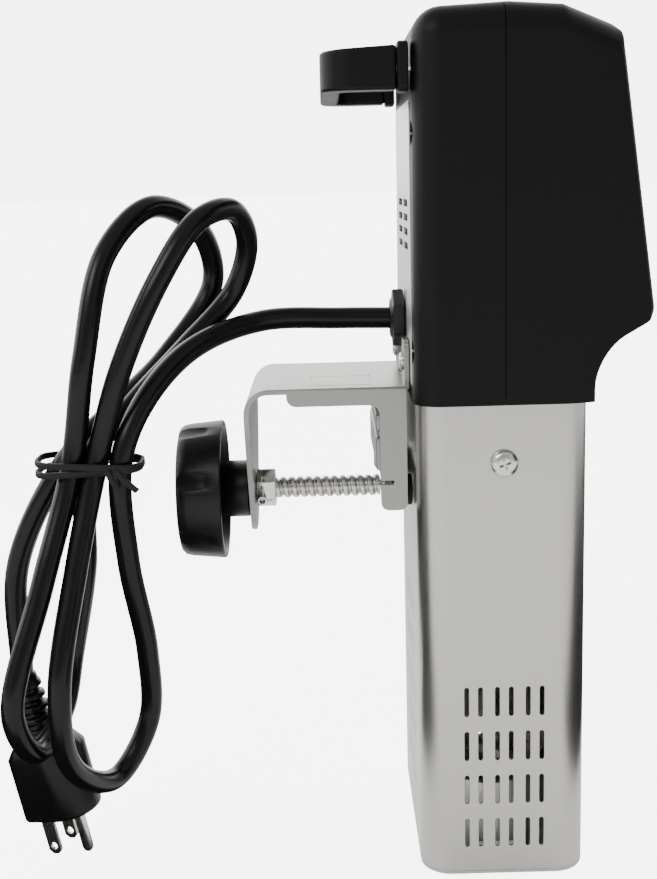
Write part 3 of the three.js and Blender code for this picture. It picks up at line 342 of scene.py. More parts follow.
def round_edges(piece, test, radius, steps=4):
    """Rounds the edges that pass a test."""
    edit(piece)
    choose(piece, "EDGE", test)
    bpy.ops.mesh.bevel(offset=radius, segments=steps, affect="EDGES")
    done()
    return piece


def applied(piece, kind, **settings):
    """Adds a modifier with its settings and applies it."""
    alone(piece)
    modifier = piece.modifiers.new(kind.lower(), kind)
    for name, setting in settings.items():
        setattr(modifier, name, setting)
    bpy.ops.object.modifier_apply(modifier=modifier.name)
    return piece


def carve(piece, cutter, operation="DIFFERENCE"):
    """Cuts one shape out of another, or joins or crosses them, and uses the cutter up."""
    applied(piece, "BOOLEAN", object=cutter, operation=operation, solver="EXACT")
    bpy.data.objects.remove(cutter)
    return piece


def shade(angle):
    """Shades the piece at hand smooth, except over edges sharper than an angle."""
    bpy.ops.object.shade_smooth_by_angle(angle=math.radians(angle))


def soften(piece, width, steps=2, angle=32.0):
    """Breaks the sharp edges as tooling or tumbling does, and shades the piece by its angles."""
    applied(piece, "BEVEL", width=width, segments=steps, limit_method="ANGLE",
            angle_limit=math.radians(angle), use_clamp_overlap=True)
    shade(angle)
    return applied(piece, "WEIGHTED_NORMAL", keep_sharp=True)


def turned(name, rings, around=48):
    """Turns a piece about +Z from (height, radius) rings, bottom to top and back down if hollow."""
    height, radius = rings[0]
    bpy.ops.mesh.primitive_circle_add(
        vertices=around, radius=radius, fill_type="NGON", location=(0, 0, height))
    made = newest(name)
    edit(made)
    bpy.ops.mesh.select_all(action="SELECT")
    for next_height, next_radius in rings[1:]:
        grown = next_radius / radius
        extrude((0, 0, next_height - height))
        bpy.ops.transform.resize(value=(grown, grown, 1), center_override=(0, 0, next_height))
        height, radius = next_height, next_radius
    bpy.ops.mesh.select_all(action="SELECT")
    bpy.ops.mesh.normals_make_consistent(inside=False)
    done()
    return made


def placed(piece, frame_matrix):
    """Sets a finished shape in its place and leaves its object at the origin."""
    alone(piece)
    piece.matrix_world = frame_matrix @ piece.matrix_world
    bpy.ops.object.transform_apply(location=True, rotation=True, scale=True)
    return piece


def moved(piece, place=(0, 0, 0), degrees=0, axis="Y"):
    """Turns a finished shape about an axis and then sets it in its place."""
    return placed(piece, Matrix.Translation(place) @ Matrix.Rotation(math.radians(degrees), 4, axis))


def fitted(piece, finish, nodes, body="root"):
    """Brings a piece from millimetres to metres, gives it its finish and fits it to its body."""
    placed(piece, Matrix.Scale(mm, 4))
    piece.data.materials.clear()
    piece.data.materials.append(finish)
    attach(piece, body)
    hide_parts(*nodes)
    return piece


plug_half, plug_flat, plug_round = 13, -12.5, 18
shoulder, plug_tall, relief_tall = 29, 37.3, 26
plug = block("plug", (plug_flat, -plug_half, 0), (plug_round, plug_half, shoulder))
round_edges(plug, lambda place, way: abs(way.z) > 0.9 and place.x > 0, 12.9, 10)
round_edges(plug, lambda place, way: abs(way.z) > 0.9 and place.x < plug_flat + 1, 4, 5)
edit(plug)
choose(plug, "FACE", lambda place, way: way.z > 0.9)
extrude((0, 0, plug_tall - shoulder))
bpy.ops.transform.resize(value=(0.62, 0.66, 1), center_override=(0, 0, plug_tall))
done()
relief_rings = [(plug_tall - 6, 7.8), (plug_tall + 2, 7.8)]
for ring in range(4):
    at = plug_tall + 3 + ring * 5
    wide = 7.4 - ring * 0.35
    relief_rings += [(at, wide - 1.6), (at + 2, wide - 1.6), (at + 2.2, wide), (at + 4.2, wide - 0.1)]
relief_rings += [(plug_tall + relief_tall - 2.6, 5.3), (plug_tall + relief_tall, 5.2)]
soften(plug, 1.6, 4, 40)
relief = soften(turned("plug_relief_shape", relief_rings), 0.45, 2, 30)
carve(plug, relief, "UNION")
shade(35)
placed(plug, plug_frame)
fitted(plug, lead_vinyl, ["plug_body"])

# ---- Plug blades and earth pin ---------------------------------------
# Two flat blades stamped from nickel-plated brass, each with a hole and a chamfered tip, and a
# longer round earth pin with a domed tip, all moulded into the plug.


def brushed(name, shade, roughness, strokes, spread=0.05, depth=0.05, blotch=0.04):
    """Brushed or drawn metal: fine strokes along the short side of the scale, faint blotches."""
    made = bpy.data.materials.new(name)
    mix = Recipe(made)
    place = mix.node("ShaderNodeTexCoord", out="Object")
    lines = mix.node("ShaderNodeMapping", sockets={"Vector": place, "Scale": strokes})
    fine = mix.node("ShaderNodeTexNoise", sockets={
        "Vector": lines, "Scale": 1.0, "Detail": 5.0, "Roughness": 0.65})
    wide = mix.node("ShaderNodeTexNoise", sockets={"Vector": place, "Scale": 26.0, "Detail": 3.0})
    pale = tuple(min(1, part * (1 + spread)) for part in shade)
    deep = tuple(part * (1 - spread - blotch) for part in shade)
    tone = mix.node("ShaderNodeMix", {"data_type": "RGBA"}, {
        "Factor": fine * 0.55 + wide * 0.45, 6: (*deep, 1), 7: (*pale, 1)}, out=2)
    bumps = mix.node("ShaderNodeBump", sockets={"Strength": depth, "Distance": 0.0002, "Height": fine})
    skin = mix.node("ShaderNodeBsdfPrincipled", sockets={
        "Base Color": tone, "Metallic": 1.0, "Normal": bumps,
        "Roughness": roughness - 0.05 + 0.07 * fine + 0.05 * wide})
    mix.node("ShaderNodeOutputMaterial", sockets={"Surface": skin})
    return made


def rod(name, axis, radius, start, end, across, around=32):
    """A round bar along an axis; across gives its other two places in x, y, z order."""
    middle = list(across)
    middle.insert("xyz".index(axis), (start + end) / 2)
    turn = {"x": (0, math.pi / 2, 0), "y": (math.pi / 2, 0, 0), "z": (0, 0, 0)}[axis]
    bpy.ops.mesh.primitive_cylinder_add(vertices=around, radius=radius, depth=end - start,
                                        location=middle, rotation=turn)
    return newest(name)


def bore(piece, *bar):
    """Drills a piece out along a bar: its axis, radius, start, end and other two places."""
    return carve(piece, rod("bore", *bar))


plug_nickel = brushed("plug_nickel", (0.74, 0.72, 0.68), 0.26, (3000, 3000, 120))
blade_middle, blade_apart, blade_half = -4.5, 6.35, 3.175
blade_thick, blade_long, blade_root, blade_hole = 1.5, 17.8, 4.5, 1.6
for side, across in (("near", -blade_apart), ("far", blade_apart)):
    blade = block(f"blade_{side}", (blade_middle - blade_half, across - blade_thick / 2, -blade_long),
                  (blade_middle + blade_half, across + blade_thick / 2, blade_root))
    round_edges(blade, lambda place, way: abs(way.y) > 0.9 and place.z < 0, 1.9, 1)
    bore(blade, "y", blade_hole, across - 3, across + 3, (blade_middle, 3.8 - blade_long))
    soften(blade, 0.22, 2)
    placed(blade, plug_frame)
    fitted(blade, plug_nickel, [f"plug_blade_{side}"])

earth_long, earth_radius = 20.5, 2.4
earth = turned("earth_pin", [(-earth_long, 0.8), (0.35 - earth_long, 1.4), (1.1 - earth_long, 2.0),
                             (2.4 - earth_long, earth_radius), (blade_root, earth_radius)], 32)
moved(earth, (7.4, 0, 0))
shade(40)
placed(earth, plug_frame)
fitted(earth, plug_nickel, ["plug_earth_pin"])

# ---- Lead tie --------------------------------------------------------
# A ribbed rubber strap that goes twice round the hank, a little loose at both ends, with two tails
# hanging at the near side.
tie_middle = Vector((-167.8, -52.3, 184))
tie_half_x, tie_half_y, tie_corner = 20.6, 11.7, 8.2
tie_rubber = moulded("tie_rubber", 3 * (0.006,), (0.013, 0.013, 0.012), 0.55, 500.0, 0.12, 0.25)


def cut_across(place, way=(0, 0, 1), trim=False):
    """In edit mode, cuts the whole shape along a plane, and takes off what lies beyond if asked."""
    bpy.ops.mesh.select_all(action="SELECT")
    bpy.ops.mesh.bisect(plane_co=place, plane_no=way, use_fill=trim, clear_outer=trim)


def tie_wrap(name, lift, lean):
    """One turn of the strap: a flat loop with fine ribs outside, leaning by a few degrees."""
    half, ribs = 1.25, (-0.5, -0.16, 0.16, 0.5)
    wrap = block(name, (-tie_half_x, -tie_half_y, -half), (tie_half_x, tie_half_y, half))
    round_edges(wrap, upright, tie_corner, 8)
    edit(wrap)
    choose(wrap, "FACE", upright)
    bpy.ops.mesh.delete(type="FACE")
    for level_z in (-0.83, *ribs, 0.83):
        cut_across((0, 0, level_z))
    choose(wrap, "VERT", lambda place, way: any(abs(place.z - rib) < 0.02 for rib in ribs))
    bpy.ops.transform.shrink_fatten(value=0.25)
    done()
    applied(wrap, "SOLIDIFY", thickness=0.9, offset=1)
    shade(50)
    return moved(wrap, tie_middle + Vector((0, 0, lift)), lean)


tie = tie_wrap("tie", 1.35, 3)
lower_wrap = tie_wrap("tie_lower", -1.35, -2)
tails = []
for tail, (away, swing) in enumerate(((9.0, 24), (12.5, 40))):
    strip = block(f"tie_tail_{tail}", (-1.2, -0.6, -11), (1.2, 0.6, 1))
    edit(strip)
    for level_z in (-9, -7, -5, -3, -1):
        cut_across((0, 0, level_z))
    for level_z in (-11, -9, -7, -5):
        choose(strip, "VERT", lambda place, way: place.z < level_z + 0.1)
        bpy.ops.transform.translate(value=(0.35, -0.35, 0))
    done()
    soften(strip, 0.3, 2)
    tails.append(moved(strip, tie_middle + Vector((away, -tie_half_y - 1.2, -1)), -swing))
for part in (lower_wrap, *tails):
    carve(tie, part, "UNION")
fitted(tie, tie_rubber, ["cord_tie"])

# ---- Tank sleeve -----------------------------------------------------
# A tube folded from 1.2 mm stainless sheet with wide rounded corners, brushed lengthwise. Paired
# slots on the near, far and clamp sides let the water through to the heater.
tank_half_x, tank_half_y, tank_top, tank_radius, tank_wall = 35, 58, 205.2, 13, 1.2
seam_z = 2.06
tank_brushing = brushed("tank_brushing", (0.56, 0.55, 0.52), 0.28, (2600, 2600, 45), 0.07, 0.10, 0.05)


def repeated(piece, count, offset):
    """Repeats a shape at even steps."""
    applied(piece, "ARRAY", count=count, use_relative_offset=False, use_constant_offset=True,
            constant_offset_displace=offset)


slot_half, slot_tall, slot_low, rear_low = 1, 13, 13.2, 23.1
slot_step, pair_step, row_step = 5.8, 12.9, 19.75


def slots(name, low, high, along, counts):
    """A field of round-ended upright slots to cut out, pair by pair and row by row."""
    field = block(name, low, high)
    round_edges(field, lambda place, way: abs(way[along]) > 0.9, slot_half - 0.01, 5)
    across = 1 - along
    for count, axis, step in (
            (2, across, slot_step), (counts[0], across, pair_step), (counts[1], 2, row_step)):
        offset = Vector((0, 0, 0))
        offset[axis] = step
        repeated(field, count, offset)
    return field


sleeve = block("tank", (-tank_half_x, -tank_half_y, seam_z), (tank_half_x, tank_half_y, tank_top))
round_edges(sleeve, upright, tank_radius, 14)
edit(sleeve)
choose(sleeve, "FACE", upright)
bpy.ops.mesh.delete(type="FACE")
done()
applied(sleeve, "SOLIDIFY", thickness=tank_wall, offset=-1)
beyond = 70
first_pair, rear_first = pair_step + slot_step / 2, 1.5 * pair_step + slot_step / 2
carve(sleeve, slots("broad_end_slots", (-first_pair - slot_half, -beyond, slot_low),
                    (-first_pair + slot_half, beyond, slot_low + slot_tall), 1, (3, 4)))
carve(sleeve, slots("clamp_side_slots", (-beyond, -rear_first - slot_half, rear_low),
                    (0, -rear_first + slot_half, rear_low + slot_tall), 0, (4, 5)))
tank_screw_z = 181
bore(sleeve, "y", 2.7, -beyond, beyond, (0, tank_screw_z))
soften(sleeve, 0.16, 2, 40)
fitted(sleeve, tank_brushing, ["tank_sleeve"])

# ---- Tank floor ------------------------------------------------------
# A pressed stainless plate welded into the lower end of the sleeve, its outer edge rolled, with
# two long drain slots.
base = block("tank_base", (-tank_half_x, -tank_half_y, 0), (tank_half_x, tank_half_y, 2))
round_edges(base, upright, tank_radius, 14)
round_edges(base, lambda place, way: place.z < 0.1 and abs(way.z) < 0.1, 1.5, 4)
rings = []
for inset, low, high in ((1.6, 1.5, 8), (2.6, 2, 9)):
    wide, long = tank_half_x - inset, tank_half_y - inset
    ring = block("lip", (-wide, -long, low), (wide, long, high))
    rings.append(round_edges(ring, upright, tank_radius - inset, 10))
lip = carve(*rings)
carve(base, lip, "UNION")
drain_half_long, drain_half, drain_y = 12, 3, 36
for across in (-drain_y, drain_y):
    drain = block("drain", (-drain_half_long, across - drain_half, -1),
                  (drain_half_long, across + drain_half, 9))
    carve(base, round_edges(drain, upright, drain_half - 0.02, 8))
shade(40)
fitted(base, tank_brushing, ["tank_floor"])

# ---- Screws ----------------------------------------------------------
# Plated pan-head machine screws with a cross recess: large ones hold the sleeve to the chassis,
# smaller ones the shells, the clamp bracket and, from inside, the handle.
screw_plating = brushed("screw_plating", (0.72, 0.71, 0.69), 0.22, (1800, 1800, 1800), 0.04, 0.03)
OUTWARD = {"near": (90, "X"), "far": (-90, "X"), "rear": (-90, "Y"), "front": (90, "Y")}


def pan_screw(name, node, side, place, head, tall, shank, length):
    """A pan-head screw with a cross recess, the underside of its head at its place."""
    screw = turned(name, [
        (-length, shank * 0.7), (0.6 - length, shank), (0, shank), (0, head), (tall * 0.3, head),
        (tall * 0.62, head * 0.93), (tall * 0.86, head * 0.74), (tall, head * 0.46)], 40)
    reach, half, deep = head * 0.56, head * 0.1, tall * 0.62
    for turn in (0, 90):
        wing = block("cross_wing", (-reach, -half, tall - deep), (reach, half, tall + 1))
        edit(wing)
        choose(wing, "VERT", lambda corner, way: corner.z < tall - deep + 0.01)
        bpy.ops.transform.resize(value=(0.35, 0.7, 1), center_override=(0, 0, tall - deep))
        done()
        carve(screw, moved(wing, degrees=turn + 20, axis="Z"))
    shade(38)
    moved(screw, place, *OUTWARD[side])
    return fitted(screw, screw_plating, [node])


for end, across in (("near", -1), ("far", 1)):
    pan_screw(f"sleeve_screw_{end}", f"tank_screw_{end}", end,
              (0, across * (tank_half_y + 0.1), tank_screw_z), 5.7, 3, 2, 8)

# ---- Head shells -----------------------------------------------------
# Two half shells moulded in satin black plastic, 3 mm thick, that meet on an upright seam over the
# middle of the tank. The sides draw in past a soft crease, and the nose overhangs the tank.
shell_plastic = moulded(
    "shell_plastic", 3 * (0.0022,), 3 * (0.0042,), 0.44, 1500.0, 0.10, 0.16)
head_rear, head_half, head_low, neck_x, crease_x = -36, 63, 205.5, 35.8, 25
head_wall, head_corner, nose_x = 3, 11, 61.6
under_slope = math.atan2(12.7, 24.7)
HEAD_PLANES = (  # a point on each outer face, and the way the face looks
    ((59.4, 0, 250), (0.9901, 0, 0.1404)),
    ((42.5, 0, 351), (0.3543, 0, 0.9351)),
    ((22.7, 0, 358.5), (0.0723, 0, 0.9974)),
    ((2, 0, 360), (-0.0416, 0, 0.9991)),
    ((head_rear, 0, head_low), (-1, 0, 0.0057)),
    ((crease_x, head_half, 0), (0.2198, 0.9755, 0)),
    ((crease_x, -head_half, 0), (0.2198, -0.9755, 0)),
)


def head_form(name, inset):
    """The solid outside of the head, or the same drawn in all round by an inset."""
    neck, half, low = neck_x - inset, head_half - inset, head_low - (5 if inset else 0)
    under_z = 225 + inset * 1.5
    form = block(name, (head_rear - 1 + inset, -half, low), (neck, half, 362))
    edit(form)
    cut_across((0, 0, under_z))
    choose(form, "FACE", lambda place, way: way.x > 0.9 and place.z > under_z)
    extrude((nose_x - neck, 0, 0))
    choose(form, "VERT", lambda place, way: place.x > neck + 1 and place.z < under_z + 1)
    bpy.ops.transform.translate(value=(0, 0, (nose_x - neck) * math.tan(under_slope)))
    for place, way in HEAD_PLANES:
        way = Vector(way).normalized()
        cut_across(Vector(place) - inset * way, way, True)
    bpy.ops.mesh.select_all(action="SELECT")
    bpy.ops.mesh.normals_make_consistent(inside=False)
    done()
    rear, side = head_rear + inset, 50
    round_edges(form, lambda place, way: (
        (place.x < rear + 1.5 and (abs(place.y) > side and abs(way.z) > 0.9 or place.z > 340))
        or (abs(place.y) > side and place.z > 345 and abs(way.y) < 0.3 and abs(way.z) < 0.5)),
        head_corner - inset, 7)
    for radius, steps, chosen in (
            (14 + inset * 0.6, 8, lambda place: abs(place.x - neck) < 0.5 and abs(place.z - under_z) < 0.5),
            (4.6 - inset, 5, lambda place: place.x > 56 - inset and place.z < 250),
            (3.4 - inset * 0.8, 4, lambda place: place.x > 36 and place.z > 340)):
        round_edges(form, lambda place, way: abs(way.y) > 0.9 and chosen(place), radius, steps)
    if not inset:
        round_edges(form, lambda place, way: (
            abs(place.y) > side and place.x > 44 and abs(way.y) < 0.3 and abs(way.z) > 0.8), 2.6, 4)
    return form


def plate_x(name, start, end, half_y, low, high, radius):
    """A plate square to X with rounded corners."""
    made = block(name, (start, -half_y, low), (end, half_y, high))
    return round_edges(made, lambda place, way: abs(way.x) > 0.9, radius, 6)


head = head_form("head_rear", 0)
carve(head, head_form("head_hollow", head_wall))
tank_mouth = block("tank_mouth", (-33.8, -56.8, 200), (33.8, 56.8, 210.5))
carve(head, round_edges(tank_mouth, upright, 11.8, 8))
alone(head)
bpy.ops.object.duplicate()
nose = bpy.context.object
nose.name = "head_front"
seam_half = 0.15
carve(head, block("front_side", (-seam_half, -90, 190), (90, 90, 380)))
carve(nose, block("rear_side", (-90, -90, 190), (seam_half, 90, 380)))

panel_half, panel_low, panel_high, panel_thick, panel_radius, panel_ledge = 45, 211, 325, 1.4, 4, 3
behind, within, screw_bore = -50, -20, 2.4
shell_screws = [(across, height) for height in (226, 312) for across in (-50, 50)]
for across, height in shell_screws:
    carve(head, rod("boss", "x", 6, head_rear + 2, -seam_half, (across, height)), "UNION")
    carve(nose, rod("boss", "x", 5, seam_half, 16, (across, height)), "UNION")
carve(head, plate_x("panel_opening", behind, within, panel_half - panel_ledge, panel_low + panel_ledge,
                    panel_high - panel_ledge, panel_radius))
carve(head, plate_x("panel_rebate", behind, head_rear + panel_thick + 0.2, panel_half + 0.3, panel_low - 0.3,
                    panel_high + 0.3, panel_radius + 0.3))
handle_arm_y, handle_z = 49.5, 336.9
for across in (-handle_arm_y, handle_arm_y):
    carve(head, rod("handle_seat", "x", 7, head_rear + 1.5, head_rear + 5.5, (across, handle_z)), "UNION")
    bore(head, "x", screw_bore, behind, within, (across, handle_z))
for across, height in shell_screws:
    bore(head, "x", 4.75, behind, head_rear + 6, (across, height))
    bore(head, "x", 2.2, behind, 5, (across, height))
    bore(nose, "x", 1.9, -5, 13, (across, height))
soften(head, 0.45, 2, 40)

face_lean = math.radians(8.06)
face_frame = Matrix(((0, -math.sin(face_lean), math.cos(face_lean), 52.4), (1, 0, 0, 0),
                     (0, math.cos(face_lean), math.sin(face_lean), 299.6), (0, 0, 0, 1)))


def face_plate(name, half_wide, half_tall, radius, low, high, middle=(0, 0), steps=6):
    """A plate lying in the control face, across and up it, from one depth to another."""
    u, v = middle
    made = block(name, (u - half_wide, v - half_tall, low), (u + half_wide, v + half_tall, high))
    return round_edges(made, upright, radius, steps)


key_wide, key_tall, key_radius, key_thick = 42, 39, 6, 1.2
for grown, radius, deep in ((0.3, key_radius + 0.3, key_thick), (-4, key_radius, 15)):
    recess = face_plate("face_recess", key_wide + grown, key_tall + grown, radius, -deep, 20)
    carve(nose, placed(recess, face_frame))
soften(nose, 0.45, 2, 40)
fitted(head, shell_plastic, ["head_rear_shell"])
fitted(nose, shell_plastic, ["head_front_shell"])
for across, height in shell_screws:
    row, end = "low" if height < 250 else "high", "near" if across < 0 else "far"
    pan_screw(f"head_screw_{row}_{end}", f"shell_screw_{row}_{end}", "rear",
              (head_rear + 5.9, across, height), 4, 2.6, 1.6, 36)

# ---- Rear panel ------------------------------------------------------
# A flush plate of brushed stainless sheet, stamped with vents for the cooling fan and holes for
# the cable gland and the clamp bracket's screws.
panel_brushing = brushed("panel_brushing", (0.66, 0.66, 0.64), 0.34, (2600, 45, 2600), 0.06, 0.06)
panel = plate_x("vent_panel", head_rear + 0.1, head_rear + 0.1 + panel_thick, panel_half, panel_low,
                panel_high, panel_radius)
vent_half, vent_away, vent_low, vent_pitch = 13, 17, 265.5, 5.9
vents = block("vents", (behind, -vent_away - vent_half, vent_low),
              (within, -vent_away + vent_half, vent_low + 3))
round_edges(vents, lambda place, way: abs(way.x) > 0.9, 1.49, 5)
for count, offset in ((2, (0, 2 * vent_away, 0)), (4, (0, 0, vent_pitch))):
    repeated(vents, count, offset)
carve(panel, vents)
gland_z, bracket_y, bracket_z = 235, 24, 219
bore(panel, "x", 8.4, behind, within, (0, gland_z))
for across in (-bracket_y, bracket_y):
    bore(panel, "x", screw_bore, behind, within, (across, bracket_z))
soften(panel, 0.18, 2, 40)
fitted(panel, panel_brushing, ["rear_panel"])

# ---- Control face ----------------------------------------------------
# A flush black moulded plate in the sloping face, with a smoked window over the display and five
# dished push caps, each on its own switch.
key_plate = face_plate("control_plate", key_wide, key_tall, key_radius, 0.2 - key_thick, 0.2)
window_half_wide, window_half_tall, window_up = 23, 11, 18
carve(key_plate, face_plate("window_hole", window_half_wide, window_half_tall, 2, -5, 5, (0, window_up)))
KEYS = {"power": (0, -22, 7), "set": (-28, -9, 5.5), "timer": (28, -9, 5.5), "minus": (-28, -26, 5.5),
        "plus": (28, -26, 5.5)}
for across, up, radius in KEYS.values():
    bore(key_plate, "z", radius + 0.3, -5, 5, (across, up), 40)
soften(key_plate, 0.22, 2, 40)
plate_plastic = moulded("plate_plastic", 3 * (0.003,), 3 * (0.006,), 0.26, 700.0, 0.03, 0.3)
fitted(placed(key_plate, face_frame), plate_plastic, ["control_panel"])

window = face_plate("smoked_window", window_half_wide - 0.3, window_half_tall - 0.3, 1.7, -1.6, -0.15,
                    (0, window_up))
soften(window, 0.25, 2, 40)
smoked = moulded("smoked_window", (0.006, 0.008, 0.010), (0.009, 0.011, 0.013), 0.10, 400.0, 0.01, 0.5, 0.6)
fitted(placed(window, face_frame), smoked, ["display_window"])

white_cap = moulded("white_cap", (0.60, 0.60, 0.57), (0.72, 0.72, 0.69), 0.42, 900.0, 0.05)
grey_cap = moulded("grey_cap", (0.20, 0.21, 0.22), (0.29, 0.30, 0.31), 0.42, 900.0, 0.05)
for name, (across, up, radius) in KEYS.items():
    cap = turned(f"{name}_cap", [
        (-6, radius - 1), (-2.6, radius - 1), (-2.6, radius), (0.9, radius), (1.4, radius - 0.2),
        (1.6, radius - 0.6), (1.52, radius - 1.2), (1.2, radius * 0.62), (1.0, radius * 0.3),
        (0.95, radius * 0.05)])
    shade(40)
    placed(cap, face_frame @ Matrix.Translation((across, up, 0)))
    finish, slot = (white_cap, "button_white") if name == "power" else (grey_cap, "button_grey")
    fitted(cap, finish, [f"{name}_button"], f"{name}_key")

# ---- Handle ----------------------------------------------------------
# A moulded bow in the shell's plastic, rectangular in section with soft corners, screwed from
# inside the head against two collars.
bow_end, bow_reach, bow_half, bow_low, bow_high = -40.8, -70.3, 56, 328.3, 345.5
arm_wide, bar_thick, thread_bore = 13, 8, 1.9
bow = block("handle", (bow_reach, -bow_half, bow_low), (bow_end, bow_half, bow_high))
grip_gap = block("grip_gap", (bow_reach + bar_thick, arm_wide - bow_half, bow_low - 5),
                 (bow_end + 5, bow_half - arm_wide, bow_high + 5))
for part, radius, steps in ((grip_gap, 5, 5), (bow, 12, 8)):
    round_edges(part, lambda place, way: abs(way.z) > 0.9 and place.x < bow_end - 5, radius, steps)
carve(bow, grip_gap)
edit(bow)
cut_across((-30, 0, bow_high), (-0.0484, 0, 0.9988), True)
done()
soften(bow, 1.4, 4, 40)
for across in (-handle_arm_y, handle_arm_y):
    bore(bow, "x", thread_bore, -61, -30, (across, handle_z))
fitted(bow, shell_plastic, ["handle_bow"])
for end, across in (("near", -handle_arm_y), ("far", handle_arm_y)):
    half_wide, half_tall = arm_wide / 2 + 1.2, 9.5
    collar = block(f"handle_foot_{end}", (-40.5, across - half_wide, handle_z - half_tall),
                   (-36.35, across + half_wide, handle_z + half_tall))
    round_edges(collar, lambda place, way: abs(way.x) > 0.9, 3, 5)
    soften(collar, 0.8, 3, 40)
    bore(collar, "x", 2.3, -61, -30, (across, handle_z))
    fitted(collar, shell_plastic, [f"handle_collar_{end}"])
    pan_screw(f"bow_screw_{end}", f"handle_screw_{end}", "front",
              (head_rear + 5.6, across, handle_z), 4, 2.6, 2, 27)

# ---- Clamp bracket ---------------------------------------------------
# A hook folded from 2.2 mm stainless sheet: a top plate over the pot's rim, a leg that carries the
# screw, and a jaw plate between two flanged cheeks that stands against the wall of the pot.
clamp_brushing = brushed("clamp_brushing", (0.33, 0.33, 0.315), 0.34, (60, 2600, 2600), 0.07, 0.08)
sheet, clamp_half, clamp_top, clamp_left, clamp_bend, leg_low = 2.2, 40, 210.6, -105.7, 10.5, 142
jaw_web, jaw_low, jaw_right, lip_tall, web_low = -49.2, 158, -38, 7.5, 172
clamp_screw_z, bumper_y, bumper_z, lip_left = 160, 29, 164.5, clamp_left + 18
jaw_back, jaw_front, thread_clear = -45, -30, 5.25
hook = block("clamp", (clamp_left, -clamp_half, leg_low), (jaw_right, clamp_half, clamp_top))
throat = block("throat", (clamp_left + sheet, -50, leg_low - 5), (jaw_right + 5, 50, clamp_top - sheet))
for part, radius in ((hook, clamp_bend), (throat, clamp_bend - sheet)):
    round_edges(part, lambda place, way: (
        abs(way.y) > 0.9 and place.x < clamp_left + 3 and place.z > clamp_top - 4), radius, 12)
carve(hook, throat)
leg_cut = block("leg_outline", (clamp_left - 5, -clamp_half - 1, leg_low),
                (jaw_right + 5, clamp_half + 1, clamp_top + 5))
edit(leg_cut)
for side in (-1, 1):
    cut_across((0, side * clamp_half, 196), (0, side * 0.89, -0.456), True)
done()
round_edges(leg_cut, lambda place, way: abs(way.x) > 0.9 and place.z < leg_low + 1, 9, 8)
round_edges(leg_cut, lambda place, way: abs(way.x) > 0.9 and 190 < place.z < 200, 12, 6)
carve(hook, leg_cut, "INTERSECT")

cheek = block("cheek", (jaw_web, -clamp_half, jaw_low), (jaw_right, sheet - clamp_half, clamp_top - 1))
edit(cheek)
cut_across((0, 0, clamp_top - lip_tall))
choose(cheek, "FACE", lambda place, way: way.x < -0.9 and place.z > clamp_top - lip_tall)
extrude((lip_left - jaw_web, 0, 0))
done()
round_edges(cheek, lambda place, way: (
    abs(way.y) > 0.9 and abs(place.z - clamp_top + lip_tall) < 0.1 and abs(place.x - jaw_web) < 0.1), 4, 6)
round_edges(cheek, lambda place, way: (
    abs(way.y) > 0.9 and place.z < clamp_top - 4 and place.x < lip_left + 0.5), 4, 6)
round_edges(cheek, lambda place, way: abs(way.y) > 0.9 and place.z < jaw_low + 0.1, 3.4, 6)
bore(cheek, "y", 0.9, -60, -20, (jaw_web + 5, web_low - 2))
carve(cheek, block("relief", (jaw_web - 1, -60, web_low - 2.9), (jaw_web + 5, -20, web_low - 1.1)))
alone(cheek)
bpy.ops.object.duplicate()
far_cheek = moved(bpy.context.object, (0, 2 * clamp_half - sheet, 0))

web_half = clamp_half - 0.4
web = block("jaw_web", (jaw_web, -web_half, web_low), (jaw_web + sheet, web_half, clamp_top - 1))
for rib_low, rib_high in ((174.5, 188.8), (191.3, 198.5)):
    rib = block("jaw_rib", (jaw_web - 1.5, 3 - clamp_half, rib_low), (jaw_web + 1, clamp_half - 3, rib_high))
    round_edges(rib, lambda place, way: abs(way.x) > 0.9, 1.5, 4)
    round_edges(rib, lambda place, way: abs(way.x) < 0.5 and place.x < jaw_web, 0.7, 3)
    carve(web, rib, "UNION")
strap = block("jaw_strap", (jaw_right - sheet, -web_half, jaw_low + 2), (jaw_right, web_half, jaw_low + 15))
for part in (cheek, far_cheek, web, strap):
    carve(hook, part, "UNION")
for across in (-bracket_y, bracket_y):
    tab = plate_x("bracket_tab", jaw_right - 0.2, head_rear - 0.3, 9, clamp_top - 2.8, clamp_top + 18, 3)
    carve(hook, moved(tab, (0, across, 0)), "UNION")
    bore(hook, "x", screw_bore, jaw_back, jaw_front, (across, bracket_z))
bore(hook, "x", thread_clear, clamp_left - 5, clamp_left + 10, (0, clamp_screw_z))
for across in (-bumper_y, bumper_y):
    bore(hook, "x", 2, jaw_back, jaw_front, (across, bumper_z))
label, inner = (
    block(name, (inset - 78, inset - 32, clamp_top - deep), (-52 - inset, -6 - inset, clamp_top + tall))
    for name, inset, deep, tall in (("label_groove", 0, 0.25, 1), ("label_inside", 0.6, 2, 2)))
carve(hook, carve(label, inner))
round_edges(hook, lambda place, way: (
    abs(way.x) > 0.9 and abs(place.y) > clamp_half - 0.1 and place.z > clamp_top - 0.1
    and place.x > lip_left), 1.4, 4)
soften(hook, 0.3, 2, 40)
fitted(hook, clamp_brushing, ["clamp_bracket"])
for end, across in (("near", -bracket_y), ("far", bracket_y)):
    pan_screw(f"tab_screw_{end}", f"bracket_screw_{end}", "rear",
              (jaw_right - 0.3, across, bracket_z), 4, 1.8, 2, 9)

